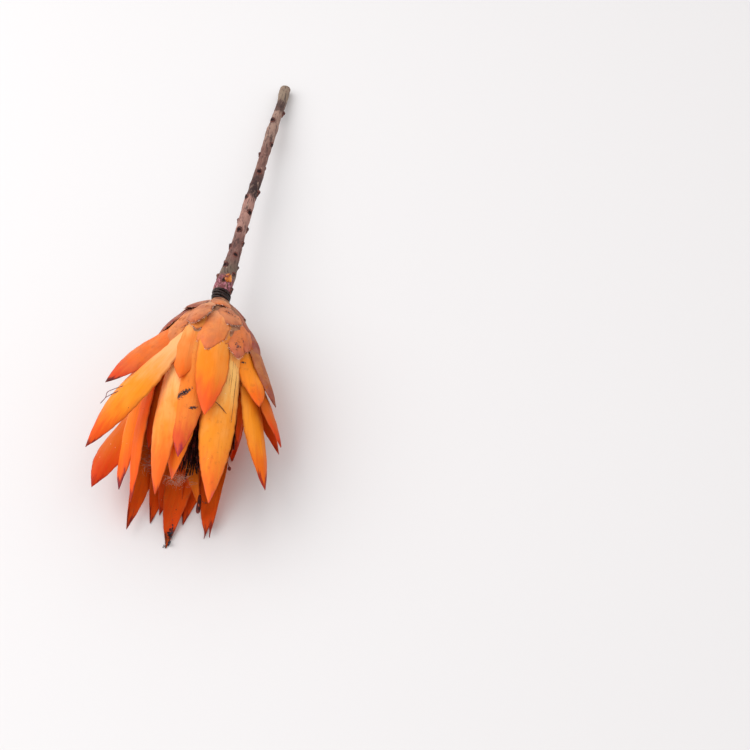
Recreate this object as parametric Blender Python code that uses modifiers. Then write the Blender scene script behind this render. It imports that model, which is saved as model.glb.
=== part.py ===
"""Dried sugarbush: one cut stem with its flower head, lying on its side.

The head's axis runs along -Y, level, and the bare woody stem runs back along +Y and comes down
until its cut end touches the surface. The origin is on the small flat where the shoulder of the
head rests, and the surface is z = 0. Sizes in this file are millimetres and degrees; MM turns
them into Blender's metres.
"""
import math
import random
from typing import NamedTuple

import bmesh
import bpy
from mathutils import Matrix, Vector

MM = 0.001
GAP = 0.3
WELD = 0.001

# Head: a dome from the neck to the shoulder, then straight
AXIS_HEIGHT = 20.9
NECK_TO_REST = 32.0
NECK_RADIUS = 4.3
HEAD_RADIUS = 21.5
SHOULDER_ALONG = 28.0
DOME_RISE = 1.5
DOME_FULLNESS = 0.75
SHOULDER_BOW = -0.8
BOW_ALONG = 50.0

# Receptacle, the woody core that the bracts grow from
CORE_UNDER = 1.9
CORE_STRAIGHT_TO = 30.0
CORE_END = 44.0
CORE_END_RADIUS = 9.5
CORE_STEPS = 9
CORE_STEP_GROWTH = 1.6
CORE_SIDES = 24

# Bracts
BRACT_THICKNESS = 0.9
BRACT_SINK = 3.0
SPLAY_POWER = 1.05
ROLL_MOST = 9.0
ROLL_SEED = 11
CLEFT_HALF_WIDTH = 0.1
CLEFT_MIDDLE = 0.1
FLOOR_PRESS = 0.15
TANGENT_STEP = 0.02
EDGE_MERGE = 0.02

# Florets
FLORET_COUNT = 116
FLORET_TURN = 137.5
FLORET_BASE_RADIUS = 9.0
FLORET_CORE_LENGTH = 22.0
FLORET_CORE_TIP_RADIUS = 5.0
FLORET_CORE_SIDES = 12
FLORET_ROOT_SINK = 0.8
FLORET_ROOT_MARGIN = 1.5
FLORET_REACH = (80.0, 92.0)
FLORET_SPREAD = 11.0
FLORET_LEAN = 12.0
FLORET_RADIUS = 0.55
FLORET_TIP_RADIUS = 0.3
FLORET_SEED = 5

# Neck
NECK_LENGTH = 5.0
NECK_RINGS = 5
NECK_RING_HEIGHT = 0.55
NECK_RING_CREST = 0.65
NECK_TAPER = 0.06
NECK_SIDES = 20

# Stem: centreline from the neck to the cut end, as (x, distance from the neck, z, radius)
STEM_ROUTE = (
    (0.0, NECK_LENGTH + 2 * GAP, AXIS_HEIGHT, 4.0),
    (0.0, 8.0, AXIS_HEIGHT, 4.05),
    (0.6, 12.0, 20.75, 3.9),
    (1.1, 17.0, 20.3, 3.7),
    (1.5, 22.0, 19.7, 3.4),
    (1.9, 28.0, 19.0, 3.05),
    (2.3, 34.0, 18.3, 2.8),
    (2.9, 46.0, 16.9, 2.65),
    (3.5, 58.5, 15.4, 2.7),
    (4.3, 70.0, 14.1, 2.6),
    (5.4, 83.0, 12.5, 2.5),
    (6.2, 97.0, 10.8, 2.4),
    (7.0, 111.5, 8.9, 2.55),
    (7.6, 119.0, 7.95, 2.85),
    (8.3, 128.5, 6.6, 2.45),
    (9.5, 143.0, 4.45, 2.5),
    (10.2, 156.5, 2.55, 2.7),
)
STEM_ROUND = 3

# Leaf scars on the stem, closest together near the head
SCAR_COUNT = 29
SCAR_TURN = 137.5
SCAR_START = 2.0
SCAR_FIRST_STEP = 2.6
SCAR_STEP_GROWTH = 1.045
SCAR_SIZE = (1.2, 1.6, 1.0)
SCAR_VARIATION = 0.15
SCAR_SINK = 0.2
SCAR_LOWEST = 1.2
SCAR_SEED = 7


class Shape(NamedTuple):
    """The outline and cross-section that a row's bracts share, and where they leave the head."""

    release: float
    root_share: float
    widest_at: float
    tip_power: float
    cup: float
    lengths: int
    widths: int


class Bract(NamedTuple):
    """One bract: its bearing about the axis at root and tip, then where the tip reaches.

    The lift is how far the tip stands out from the closed head, or in where it is negative. The
    outer face looks along the bract's own bearing, or turns to another one as it dries. The bow
    is how far its middle stands out of the line to the tip, and a cleft splits the tip for a
    share of the bract's length.
    """

    root_around: float
    tip_around: float
    tip_along: float
    lift: float
    width: float
    face: float | None = None
    bow: float = 0.0
    cleft: float = 0.0


class Row(NamedTuple):
    """Bracts that root at the same distance from the neck."""

    root_along: float
    shape: Shape
    bracts: tuple[Bract, ...]


SCALE = Shape(
    release=0.0, root_share=0.7, widest_at=0.5, tip_power=2.6, cup=0.2, lengths=4, widths=3
)
OVATE = Shape(
    release=0.15, root_share=0.6, widest_at=0.5, tip_power=2.2, cup=0.3, lengths=4, widths=4
)
LANCE = Shape(
    release=0.25, root_share=0.5, widest_at=0.5, tip_power=2.1, cup=0.36, lengths=6, widths=4
)
BROAD = Shape(
    release=0.25, root_share=0.4, widest_at=0.68, tip_power=1.6, cup=0.3, lengths=6, widths=4
)

# Bearings are 0 on top of the lying head and positive towards +X; 180 is underneath.
ROWS = (
    Row(0.5, SCALE, (
        Bract(20, 20, 12, 0.3, 11),
        Bract(71, 71, 12, -0.3, 11),
        Bract(123, 123, 12, 0.0, 11),
        Bract(174, 174, 13, 0.3, 11),
        Bract(-134, -134, 12, 0.3, 11),
        Bract(-83, -83, 14, 3.0, 12),
        Bract(-31, -35, 14, 1.8, 12),
    )),
    Row(5, SCALE, (
        Bract(-60, -60, 28, 3.2, 13),
        Bract(-20, -10, 28.2, 1.5, 12.1, -18.5, 0.8),
        Bract(29, 29, 25, 0.4, 14),
        Bract(74, 74, 25, 0.0, 13),
        Bract(119, 119, 25, 0.0, 13),
        Bract(164, 164, 26, 0.0, 14),
        Bract(-151, -151, 26, 0.3, 14),
        Bract(-104, -100, 27, 3.4, 13),
    )),
    Row(10, OVATE, (
        Bract(-36, -46, 38, 2.6, 12),
        Bract(9, 8, 41.5, 0.8, 15),
        Bract(47.6, 43.5, 41.5, 1.4, 11.5, 45.5, -0.5),
        Bract(68, 76, 34, 2.8, 12, 60),
        Bract(112, 112, 38, 0.8, 13),
        Bract(144, 144, 38, 0.0, 14),
        Bract(180, 180, 39, 0.0, 14),
        Bract(-136, -136, 38, 0.5, 14),
        Bract(-84, -88, 38, 3.0, 13),
    )),
    Row(14, LANCE, (
        Bract(-38, -60.5, 61, 21.5, 12.6, 0, 0.5),
        Bract(-17.5, -18.5, 57.3, 1.1, 12.4, 2, -0.5),
        Bract(17, 15.3, 74.8, 2.1, 14.4, 3.5, 0.8),
        Bract(71.3, 69.2, 61.1, 7.1, 13.4, 20, -0.5),
        Bract(76, 85, 56, 10.6, 11, 60, 1.6),
        Bract(114, 118, 60, 5.5, 13),
        Bract(152, 155, 60, 0.0, 14),
        Bract(-166, -165, 58, 0.0, 14),
        Bract(-124, -126, 62, 4.5, 14),
        Bract(-90, -96, 60, 11.5, 12),
    )),
    Row(18, LANCE, (
        Bract(-35.8, -60, 94.4, 22.7, 16, -6.5, 4.3),
        Bract(-9.8, -4.5, 95.5, 1.0, 14.3, -1, -0.5),
        Bract(82, 80.6, 98, 11.8, 13.6, 48, 0.6),
        Bract(84.4, 84.5, 76, 16.4, 11.2, 66, 0.6),
        Bract(-62.8, -95, 98.3, 7.0, 16.2, -32.4, 5.1),
        Bract(96, 105, 71.5, 14.7, 12, 125, 0.3),
        Bract(138, 146, 70, 4.2, 13),
        Bract(170, 172, 88, 0.0, 13),
        Bract(-136, -148, 99, 3.0, 14),
    )),
    Row(18, BROAD, (
        Bract(-100.8, -89.8, 99.5, 18.0, 16.3, -0.6, 3.4),
    )),
    Row(22, LANCE, (
        Bract(-44, -18, 113.7, 1.7, 12, -3, 1.3),
        Bract(-16, -12, 103, -4.5, 14),
        Bract(35.3, 35.6, 113.2, 1.0, 15.2, 22.3, -0.5),
        Bract(44, 52, 96, -3.5, 12),
        Bract(154, 156, 109, -0.2, 15, 156, cleft=0.07),
        Bract(-64, -76.4, 108.5, -0.5, 12.3, -45.5, 5.0),
        Bract(-111.6, -123, 109.4, 7.7, 13.9, -143.4, 1.7),
        Bract(-131.2, -141.6, 103.3, 4.8, 13.9, -146, 1.0),
        Bract(-170.8, -158, 114.3, 0.5, 14.7, -185, 0.3),
        Bract(-187.7, -171, 102.9, 0.6, 13.1, -150),
    )),
    Row(25, LANCE, (
        Bract(90, 96, 76, -3.5, 12),
        Bract(124, 128, 74, -3.5, 12),
        Bract(-48, -76, 82, -3.0, 11, -25),
        Bract(-108, -194, 97, -6.5, 7),
    )),
)


def clear_scene() -> None:
    """Remove every object that the file opened with."""
    for obj in list(bpy.data.objects):
        bpy.data.objects.remove(obj)


def new_collection(name: str) -> bpy.types.Collection:
    """Add a collection to the scene."""
    made = bpy.data.collections.new(name)
    bpy.context.scene.collection.children.link(made)
    return made


def surface_material(name: str, colour: tuple, roughness: float) -> bpy.types.Material:
    """Make a Principled material of one colour."""
    material = bpy.data.materials.new(name)
    material.use_nodes = True
    shader = material.node_tree.nodes["Principled BSDF"]
    shader.inputs["Base Color"].default_value = (*colour, 1.0)
    shader.inputs["Roughness"].default_value = roughness
    shader.inputs["Metallic"].default_value = 0.0
    return material


def head_point(along: float, around: float, out: float) -> Vector:
    """Turn a place on the head into the model's frame, still in millimetres.

    The head's middle line bows to one side at the shoulder.
    """
    bearing = math.radians(around)
    bow = SHOULDER_BOW * math.sin(math.pi * min(max(along, 0.0), BOW_ALONG) / BOW_ALONG)
    return Vector((
        bow + out * math.sin(bearing),
        NECK_TO_REST - along,
        AXIS_HEIGHT + out * math.cos(bearing),
    ))


def head_radius(along: float) -> float:
    """Radius of the closed head at a distance from the neck: a dome, then straight."""
    if along >= SHOULDER_ALONG:
        return HEAD_RADIUS
    rise = 1 - along / SHOULDER_ALONG
    return NECK_RADIUS + (HEAD_RADIUS - NECK_RADIUS) * (1 - rise ** DOME_RISE) ** DOME_FULLNESS


def mesh_object(name: str, mesh_data: bmesh.types.BMesh, collection) -> bpy.types.Object:
    """Put a bmesh into a new object, and free it."""
    mesh = bpy.data.meshes.new(name)
    mesh_data.to_mesh(mesh)
    mesh_data.free()
    obj = bpy.data.objects.new(name, mesh)
    collection.objects.link(obj)
    return obj


def evaluated_copy(obj: bpy.types.Object, name: str, collection) -> bpy.types.Object:
    """Replace an object by the mesh that its modifiers or its curve make, in place."""
    bpy.context.view_layer.update()
    graph = bpy.context.evaluated_depsgraph_get()
    mesh = bpy.data.meshes.new_from_object(obj.evaluated_get(graph))
    made = bpy.data.objects.new(name, mesh)
    made.matrix_world = obj.matrix_world
    collection.objects.link(made)
    bpy.data.objects.remove(obj)
    welded = bmesh.new()
    welded.from_mesh(mesh)
    bmesh.ops.remove_doubles(welded, verts=welded.verts, dist=WELD * MM)
    welded.to_mesh(mesh)
    welded.free()
    return made


def fill_cavities(mesh: bpy.types.Mesh) -> None:
    """Keep only the largest shell of a mesh, so that a pocket closed in by bracts is solid."""
    solid = bmesh.new()
    solid.from_mesh(mesh)
    waiting = set(solid.faces)
    shells = []
    while waiting:
        frontier = [waiting.pop()]
        shell = set(frontier)
        while frontier:
            face = frontier.pop()
            found = {near for edge in face.edges for near in edge.link_faces} & waiting
            waiting -= found
            shell |= found
            frontier += found
        shells.append(shell)
    outer = max(shells, key=len)
    pockets = [face for shell in shells if shell is not outer for face in shell]
    bmesh.ops.delete(solid, geom=pockets, context="FACES")
    solid.to_mesh(mesh)
    solid.free()


def fuse(
    base: bpy.types.Object, pieces: bpy.types.Collection, name: str, collection
) -> bpy.types.Object:
    """Join a collection of closed pieces to a base in one Boolean union, and drop the pieces."""
    union = base.modifiers.new("join", "BOOLEAN")
    union.operation = "UNION"
    union.operand_type = "COLLECTION"
    union.collection = pieces
    union.solver = "MANIFOLD"
    made = evaluated_copy(base, name, collection)
    fill_cavities(made.data)
    for piece in list(pieces.objects):
        bpy.data.objects.remove(piece)
    bpy.data.collections.remove(pieces)
    return made


def turned(name: str, profile: list, sides: int, collection) -> bpy.types.Object:
    """Turn a profile about the head's axis.

    The profile is (radius, distance from the neck) from its far end back towards the stem, and
    closes on the axis at both ends.
    """
    outline = bmesh.new()
    points = [outline.verts.new((radius * MM, 0, along * MM)) for radius, along in profile]
    for first, second in zip(points, points[1:]):
        outline.edges.new((first, second))
    obj = mesh_object(name, outline, collection)
    obj.rotation_euler = (math.radians(90), 0, 0)
    obj.location = head_point(0, 0, 0) * MM
    screw = obj.modifiers.new("turn", "SCREW")
    screw.axis = "Z"
    screw.steps = sides
    screw.render_steps = sides
    screw.use_merge_vertices = True
    screw.merge_threshold = 0.01 * MM
    return obj


def width_at(shape: Shape, share: float) -> float:
    """Share of a bract's full width at a share of its length: narrow root, pointed tip."""
    if share < shape.widest_at:
        grown = math.sin(0.5 * math.pi * share / shape.widest_at)
        return shape.root_share + (1 - shape.root_share) * grown
    return 1 - ((share - shape.widest_at) / (1 - shape.widest_at)) ** shape.tip_power


def bract_centre(row: Row, bract: Bract, share: float) -> Vector:
    """Point on a bract's midline: under its neighbours at the root, free past the release."""
    along = row.root_along + (bract.tip_along - row.root_along) * share
    around = bract.root_around + (bract.tip_around - bract.root_around) * share
    release = row.shape.release
    freed = max(0.0, (share - release) / (1 - release)) ** SPLAY_POWER
    out = head_radius(along) - BRACT_SINK * (1 - share)
    out += bract.lift * freed + bract.bow * math.sin(math.pi * share)
    return head_point(along, around, out)


def bract_directions(
    row: Row, bract: Bract, roll: float, share: float
) -> tuple[Vector, Vector]:
    """Directions across a bract and out of its face, at a share of its length."""
    ahead = bract_centre(row, bract, min(1.0, share + TANGENT_STEP))
    behind = bract_centre(row, bract, max(0.0, share - TANGENT_STEP))
    tangent = (ahead - behind).normalized()
    face = bract.tip_around if bract.face is None else bract.face
    bearing = math.radians(bract.root_around + (face - bract.root_around) * share)
    outward = Vector((math.sin(bearing), 0, math.cos(bearing)))
    rolled = Matrix.Rotation(math.radians(roll), 3, tangent)
    across = rolled @ outward.cross(tangent).normalized()
    return across, tangent.cross(across)


def bract_point(row: Row, bract: Bract, roll: float, side: float, share: float) -> Vector:
    """Point on a bract, from side -1 to 1 across and share 0 to 1 along, cupped round its length."""
    centre = bract_centre(row, bract, share)
    across, normal = bract_directions(row, bract, roll, share)
    half = 0.5 * bract.width * width_at(row.shape, share)
    if bract.cleft and math.isclose(share, 1):
        in_cleft = abs(side) < CLEFT_MIDDLE
        centre = bract_centre(row, bract, 1 - bract.cleft * in_cleft)
        half = CLEFT_HALF_WIDTH * bract.width / max(abs(side), CLEFT_MIDDLE)
    return centre + across * (side * half) - normal * (row.shape.cup * half * side * side)


def bract_blade(name: str, row: Row, bract: Bract, roll: float, collection) -> None:
    """Model one bract: a flat grid bent to its curve, then given its thickness."""
    blade = bmesh.new()
    bmesh.ops.create_grid(
        blade, x_segments=row.shape.widths, y_segments=row.shape.lengths, size=1.0
    )
    lowest = 0.5 * BRACT_THICKNESS - FLOOR_PRESS
    for vert in blade.verts:
        place = bract_point(row, bract, roll, vert.co.x, 0.5 * (vert.co.y + 1))
        place.z = max(place.z, lowest)
        vert.co = place * MM
    bmesh.ops.remove_doubles(blade, verts=blade.verts, dist=EDGE_MERGE * MM)
    bmesh.ops.triangulate(blade, faces=blade.faces)
    obj = mesh_object(name, blade, collection)
    solid = obj.modifiers.new("thickness", "SOLIDIFY")
    solid.thickness = BRACT_THICKNESS * MM
    solid.offset = 0.0


def make_receptacle(collection) -> bpy.types.Object:
    """Woody core under the bracts: it follows the dome, then narrows to the florets' seat."""
    profile = [(0.0, CORE_END), (CORE_END_RADIUS, CORE_END)]
    for step in range(CORE_STEPS, 0, -1):
        along = CORE_STRAIGHT_TO * (step / CORE_STEPS) ** CORE_STEP_GROWTH
        profile.append((max(NECK_RADIUS, head_radius(along) - CORE_UNDER), along))
    profile += [(NECK_RADIUS, 0.0), (0.0, 0.0)]
    return turned("receptacle", profile, CORE_SIDES, collection)


def make_surface_cutter() -> bpy.types.Object:
    """Block whose top is the surface that the head lies on."""
    width = 400 * MM
    depth = 10 * MM
    block = bmesh.new()
    bmesh.ops.create_cube(block, size=1.0)
    bmesh.ops.scale(block, vec=(width, width, depth), verts=block.verts)
    bmesh.ops.translate(block, vec=(0, 0, -0.5 * depth), verts=block.verts)
    surface = mesh_object("surface_cutter", block, new_collection("cutters"))
    surface.hide_render = True
    surface.display_type = "WIRE"
    return surface


def make_head(collection) -> bpy.types.Object:
    """Receptacle with all its bracts, fused into one body and pressed flat on the surface."""
    core = make_receptacle(collection)
    blades = new_collection("bracts")
    draw = random.Random(ROLL_SEED)
    for number, row in enumerate(ROWS):
        for place, bract in enumerate(row.bracts):
            roll = draw.uniform(-ROLL_MOST, ROLL_MOST)
            bract_blade(f"bract_{number}_{place}", row, bract, roll, blades)
    whole = fuse(core, blades, "untrimmed_head", collection)
    press = whole.modifiers.new("press", "BOOLEAN")
    press.operation = "DIFFERENCE"
    press.object = make_surface_cutter()
    press.solver = "MANIFOLD"
    head = evaluated_copy(whole, "flower_head", collection)
    fill_cavities(head.data)
    return head


def make_florets(collection) -> bpy.types.Object:
    """Dense bunch of dry florets that stands on the receptacle, inside the bracts."""
    seat = CORE_END + GAP
    profile = [
        (0.0, seat + FLORET_CORE_LENGTH),
        (FLORET_CORE_TIP_RADIUS, seat + FLORET_CORE_LENGTH),
        (FLORET_BASE_RADIUS, seat),
        (0.0, seat),
    ]
    core = turned("floret_core", profile, FLORET_CORE_SIDES, collection)
    needles = new_collection("needles")
    draw = random.Random(FLORET_SEED)
    for number in range(FLORET_COUNT):
        share = (number + 0.5) / FLORET_COUNT
        around = number * FLORET_TURN
        up_core = FLORET_ROOT_MARGIN + (FLORET_CORE_LENGTH - 3 * FLORET_ROOT_MARGIN) * (1 - share)
        core_radius = FLORET_CORE_TIP_RADIUS + (FLORET_BASE_RADIUS - FLORET_CORE_TIP_RADIUS) * share
        root = head_point(seat + up_core, around, FLORET_ROOT_SINK * core_radius)
        leaning = around + draw.uniform(-FLORET_LEAN, FLORET_LEAN)
        tip = head_point(draw.uniform(*FLORET_REACH), leaning, FLORET_SPREAD * math.sqrt(share))
        needle = bmesh.new()
        length = (tip - root).length
        turn = (tip - root).to_track_quat("Z", "Y").to_matrix().to_4x4()
        place = Matrix.Translation(0.5 * (root + tip) * MM) @ turn
        bmesh.ops.create_cone(
            needle, cap_ends=True, segments=3, radius1=FLORET_RADIUS * MM,
            radius2=FLORET_TIP_RADIUS * MM, depth=length * MM, matrix=place,
        )
        mesh_object(f"needle_{number}", needle, needles)
    return fuse(core, needles, "florets", collection)


def make_neck(collection) -> bpy.types.Object:
    """Dark ringed neck between stem and head, where the small upper leaves stood."""
    far = -GAP
    pitch = NECK_LENGTH / NECK_RINGS
    profile = [(0.0, far)]
    for ring in range(NECK_RINGS):
        start = far - ring * pitch
        radius = NECK_RADIUS - NECK_TAPER * ring
        profile.append((radius - NECK_RING_HEIGHT, start))
        profile.append((radius, start - NECK_RING_CREST * pitch))
        if ring == NECK_RINGS - 1:
            profile.append((radius - NECK_RING_HEIGHT, start - pitch))
    profile.append((0.0, far - NECK_LENGTH))
    obj = turned("neck_rings", profile, NECK_SIDES, collection)
    return evaluated_copy(obj, "ringed_neck", collection)


def stem_frame(along: float) -> tuple[Vector, Vector, float]:
    """Centre, direction and radius of the stem at a distance from the neck."""
    for (x0, y0, z0, r0), (x1, y1, z1, r1) in zip(STEM_ROUTE, STEM_ROUTE[1:]):
        if along <= y1:
            share = (along - y0) / (y1 - y0)
            start = Vector((x0, NECK_TO_REST + y0, z0))
            end = Vector((x1, NECK_TO_REST + y1, z1))
            return start.lerp(end, share), (end - start).normalized(), r0 + (r1 - r0) * share
    raise ValueError(along)


def make_rod(collection) -> bpy.types.Object:
    """Tapering rod along the stem's route."""
    route = bpy.data.curves.new("stem_route", "CURVE")
    route.dimensions = "3D"
    route.bevel_depth = MM
    route.bevel_resolution = STEM_ROUND
    route.use_fill_caps = True
    spline = route.splines.new("POLY")
    spline.points.add(len(STEM_ROUTE) - 1)
    for point, (x, along, z, radius) in zip(spline.points, STEM_ROUTE):
        point.co = (x * MM, (NECK_TO_REST + along) * MM, z * MM, 1)
        point.radius = radius
    rod = bpy.data.objects.new("stem_rod", route)
    collection.objects.link(rod)
    return evaluated_copy(rod, "bare_stem", collection)


def leaf_scar(name: str, along: float, around: float, size: float, collection) -> None:
    """Small cushion that a fallen leaf left, standing out of one side of the stem."""
    centre, direction, radius = stem_frame(along)
    side = direction.cross(Vector((0, 0, 1))).normalized()
    side = Matrix.Rotation(math.radians(around), 3, direction) @ side
    scar = bmesh.new()
    bmesh.ops.create_uvsphere(scar, u_segments=6, v_segments=4, radius=MM)
    bmesh.ops.scale(scar, vec=[size * length for length in SCAR_SIZE], verts=scar.verts)
    place = centre + side * (radius - SCAR_SINK)
    place.z = max(place.z, SCAR_LOWEST * size)
    turn = Matrix((direction.cross(side), direction, side)).transposed().to_4x4()
    bmesh.ops.transform(scar, matrix=Matrix.Translation(place * MM) @ turn, verts=scar.verts)
    mesh_object(name, scar, collection)


def make_stem(collection) -> bpy.types.Object:
    """Bare woody stem: a tapering, slightly bent rod with the scars of its fallen leaves."""
    rod = make_rod(collection)
    scars = new_collection("leaf_scars")
    draw = random.Random(SCAR_SEED)
    along = STEM_ROUTE[0][1] + SCAR_START
    step = SCAR_FIRST_STEP
    for number in range(SCAR_COUNT):
        size = draw.uniform(1 - SCAR_VARIATION, 1 + SCAR_VARIATION)
        leaf_scar(f"leaf_scar_{number}", along, number * SCAR_TURN, size, scars)
        along += step
        step *= SCAR_STEP_GROWTH
    return fuse(rod, scars, "stem", collection)


def shade(obj: bpy.types.Object, material: bpy.types.Material, smooth_under: float) -> None:
    """Give an object its material, smooth where its faces meet at less than an angle."""
    obj.data.materials.clear()
    obj.data.materials.append(material)
    obj.data.shade_smooth()
    obj.data.set_sharp_from_angle(angle=math.radians(smooth_under))


def main() -> None:
    """Build the stem, neck, head and florets."""
    clear_scene()
    sugarbush = new_collection("dried_sugarbush")
    shade(make_stem(sugarbush), surface_material("bark", (0.20, 0.10, 0.08), 0.8), 50)
    shade(make_neck(sugarbush), surface_material("dark_bark", (0.05, 0.035, 0.03), 0.85), 40)
    shade(make_head(sugarbush), surface_material("bract", (0.85, 0.30, 0.04), 0.55), 40)
    shade(make_florets(sugarbush), surface_material("floret", (0.09, 0.04, 0.025), 0.8), 40)


main()
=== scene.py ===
"""The looks of one dried sugarbush, a flower head on its bare woody stem, lying on its side.

The head's axis runs along -Y, level, and the stem runs back along +Y and comes down to the surface
at its cut end. Sizes are millimetres and degrees unless a name says otherwise; MM and DEGREE turn
them into Blender's units. Bearings about the head's axis are 0 on top and positive towards +X.
"""

import logging
import math
import random
from collections.abc import Callable
from dataclasses import dataclass, fields, replace
from enum import Enum
from functools import partial
from itertools import product
from typing import ClassVar

import bmesh
import bpy
import numpy as np
from bpy.types import Material, Mesh, Node, NodeSocket, NodeTree, Object
from mathutils import Matrix, Vector


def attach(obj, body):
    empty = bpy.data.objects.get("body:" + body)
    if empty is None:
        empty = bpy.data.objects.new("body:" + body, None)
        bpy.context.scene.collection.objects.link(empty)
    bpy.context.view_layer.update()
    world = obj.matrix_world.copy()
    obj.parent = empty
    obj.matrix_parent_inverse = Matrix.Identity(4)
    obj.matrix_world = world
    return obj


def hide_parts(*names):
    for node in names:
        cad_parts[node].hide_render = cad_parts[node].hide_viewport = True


MM = 0.001
DEGREE = math.radians(1)
BODY = "root"
FLOOR_GAP = 0.02
MERGE_GAP = 0.01
RIM_ANGLE = 40.0
GOLDEN_TURN = 137.5

# An Adder adds a node to one tree, and a Table is rows of numbers.
Adder = Callable[..., Node]
Table = tuple[tuple[float, ...], ...]

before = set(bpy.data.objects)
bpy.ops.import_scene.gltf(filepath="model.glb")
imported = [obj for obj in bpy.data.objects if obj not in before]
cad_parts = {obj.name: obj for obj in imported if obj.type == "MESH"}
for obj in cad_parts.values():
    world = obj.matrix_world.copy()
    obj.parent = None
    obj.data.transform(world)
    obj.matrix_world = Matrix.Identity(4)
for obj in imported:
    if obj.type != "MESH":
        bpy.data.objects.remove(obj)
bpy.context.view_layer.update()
log = logging.getLogger("sugarbush")


def linear_colour(code: str) -> tuple[float, ...]:
    """Turn an sRGB colour, "#RRGGBB", into the linear values that a shader takes and an alpha of 1."""
    shares = [int(code[place:place + 2], 16) / 255 for place in (1, 3, 5)]
    return (*[s / 12.92 if s <= 0.04045 else ((s + 0.055) / 1.055) ** 2.4 for s in shares], 1.0)


def fill(tree: NodeTree, node: Node, inputs: dict) -> Node:
    """Fill or link a node's sockets.

    Args:
        tree: The node's tree.
        node: The node.
        inputs: Socket name or index, to a value, to the output socket that feeds it, or to the
            node whose first output does.

    Returns:
        The node.
    """
    for name, value in inputs.items():
        source = value.outputs[0] if isinstance(value, Node) else value
        if isinstance(source, NodeSocket):
            tree.links.new(source, node.inputs[name])
        else:
            node.inputs[name].default_value = source
    return node


def add_node(tree: NodeTree, kind: str, inputs: dict | None = None, **settings: object) -> Node:
    """Add one node to a tree, set its properties, and fill or link its sockets.

    Args:
        tree: The shader or geometry tree.
        kind: Blender's name for the type of node.
        inputs: What goes into its sockets, as fill takes it.
        settings: Properties of the node.

    Returns:
        The new node.
    """
    node = tree.nodes.new(kind)
    for name, value in settings.items():
        setattr(node, name, value)
    return fill(tree, node, inputs or {})


def laid(node: Adder, colour: str | NodeSocket, layers: list[tuple]) -> NodeSocket:
    """Lay colours one over another, each where a value rises from one number to a second.

    Args:
        node: Adds a node to the material.
        colour: What lies underneath.
        layers: The value, its two numbers, the most that is laid, and the colour. The numbers and
            the most may be sockets too, and any colour may be a hex code or a socket.

    Returns:
        The colour.
    """
    for value, low, high, most, over in layers:
        share = node("ShaderNodeMapRange", {
            0: value, 1: low, 2: high, 4: most,
        }, interpolation_type="SMOOTHSTEP")
        under, over = (linear_colour(c) if isinstance(c, str) else c for c in (colour, over))
        colour = node("ShaderNodeMix", {0: share, 6: under, 7: over}, data_type="RGBA").outputs[2]
    return colour


def clouds(node: Adder, spot: NodeSocket, rows: list[tuple], roughness: float) -> list[Node]:
    """Lay stretched noises over a surface.

    Args:
        node: Adds a node to the material.
        spot: The place on the surface.
        rows: For each noise, how often it repeats along each axis, and its detail.
        roughness: How strong the detail is.

    Returns:
        The noises.
    """
    return [
        node("ShaderNodeTexNoise", {
            "Vector": node("ShaderNodeMapping", {"Vector": spot, "Scale": scale}),
            "Scale": 1.0, "Detail": detail, "Roughness": roughness,
        })
        for scale, detail in rows
    ]


def link_mesh(name: str, mesh: Mesh) -> Object:
    """Put a mesh into the scene as an object at the origin.

    Args:
        name: The object's name.
        mesh: Its mesh.

    Returns:
        The object.
    """
    obj = bpy.data.objects.new(name, mesh)
    bpy.context.scene.collection.objects.link(obj)
    return obj


def solid_piece(
    name: str, form: bmesh.types.BMesh, finish: Material | None = None, rims: bool = False
) -> Object:
    """Turn a form into a smooth object.

    Args:
        name: The object's name.
        form: The form, which is freed.
        finish: Its material, if it has one.
        rims: Whether its rims stay sharp.

    Returns:
        The object.
    """
    mesh = bpy.data.meshes.new(name)
    form.to_mesh(mesh)
    form.free()
    mesh.shade_smooth()
    if finish:
        mesh.materials.append(finish)
    if rims:
        mesh.set_sharp_from_angle(angle=RIM_ANGLE * DEGREE)
    return link_mesh(name, mesh)


def set_attribute(mesh: Mesh, name: str, values: np.ndarray) -> None:
    """Store a number or a vector for each point of a mesh.

    Args:
        mesh: The mesh.
        name: The attribute's name.
        values: One row for each point.
    """
    kind, field = ("FLOAT", "value") if values.ndim == 1 else ("FLOAT_VECTOR", "vector")
    layer = mesh.attributes.new(name, kind, "POINT")
    layer.data.foreach_set(field, np.ascontiguousarray(values, dtype=np.float32).ravel())


def point_object(
    name: str, points: np.ndarray, edges: list | None = None, **attributes: np.ndarray
) -> Object:
    """Make an object of bare points, which a Geometry Nodes tree grows from.

    Args:
        name: The object's name.
        points: Places in millimetres.
        edges: Pairs of points that are joined, for a route.
        attributes: A number or a direction for each point.

    Returns:
        The object.
    """
    mesh = bpy.data.meshes.new(name)
    mesh.from_pydata([tuple(point) for point in points * MM], edges or [], [])
    for label, values in attributes.items():
        set_attribute(mesh, label, values)
    return link_mesh(name, mesh)


def route_object(name: str, routes: list[np.ndarray]) -> Object:
    """Lay routes as lines of points that know the radius there.

    Args:
        name: The object's name.
        routes: For each route, rows of x, y, z and radius in millimetres.

    Returns:
        The object.
    """
    edges, start = [], 0
    for route in routes:
        edges += [(index, index + 1) for index in range(start, start + len(route) - 1)]
        start += len(route)
    table = np.concatenate(routes)
    return point_object(name, table[:, :3], edges, girth=table[:, 3])


def smoothstep(low: float, high: float, values: np.ndarray) -> np.ndarray:
    """Ease from 0 at the low value to 1 at the high one."""
    share = np.clip((values - low) / (high - low), 0, 1)
    return share * share * (3 - 2 * share)


def unit(ways: np.ndarray) -> np.ndarray:
    """Directions of length one."""
    return ways / np.maximum(np.linalg.norm(ways, axis=-1, keepdims=True), 1e-6)


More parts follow.
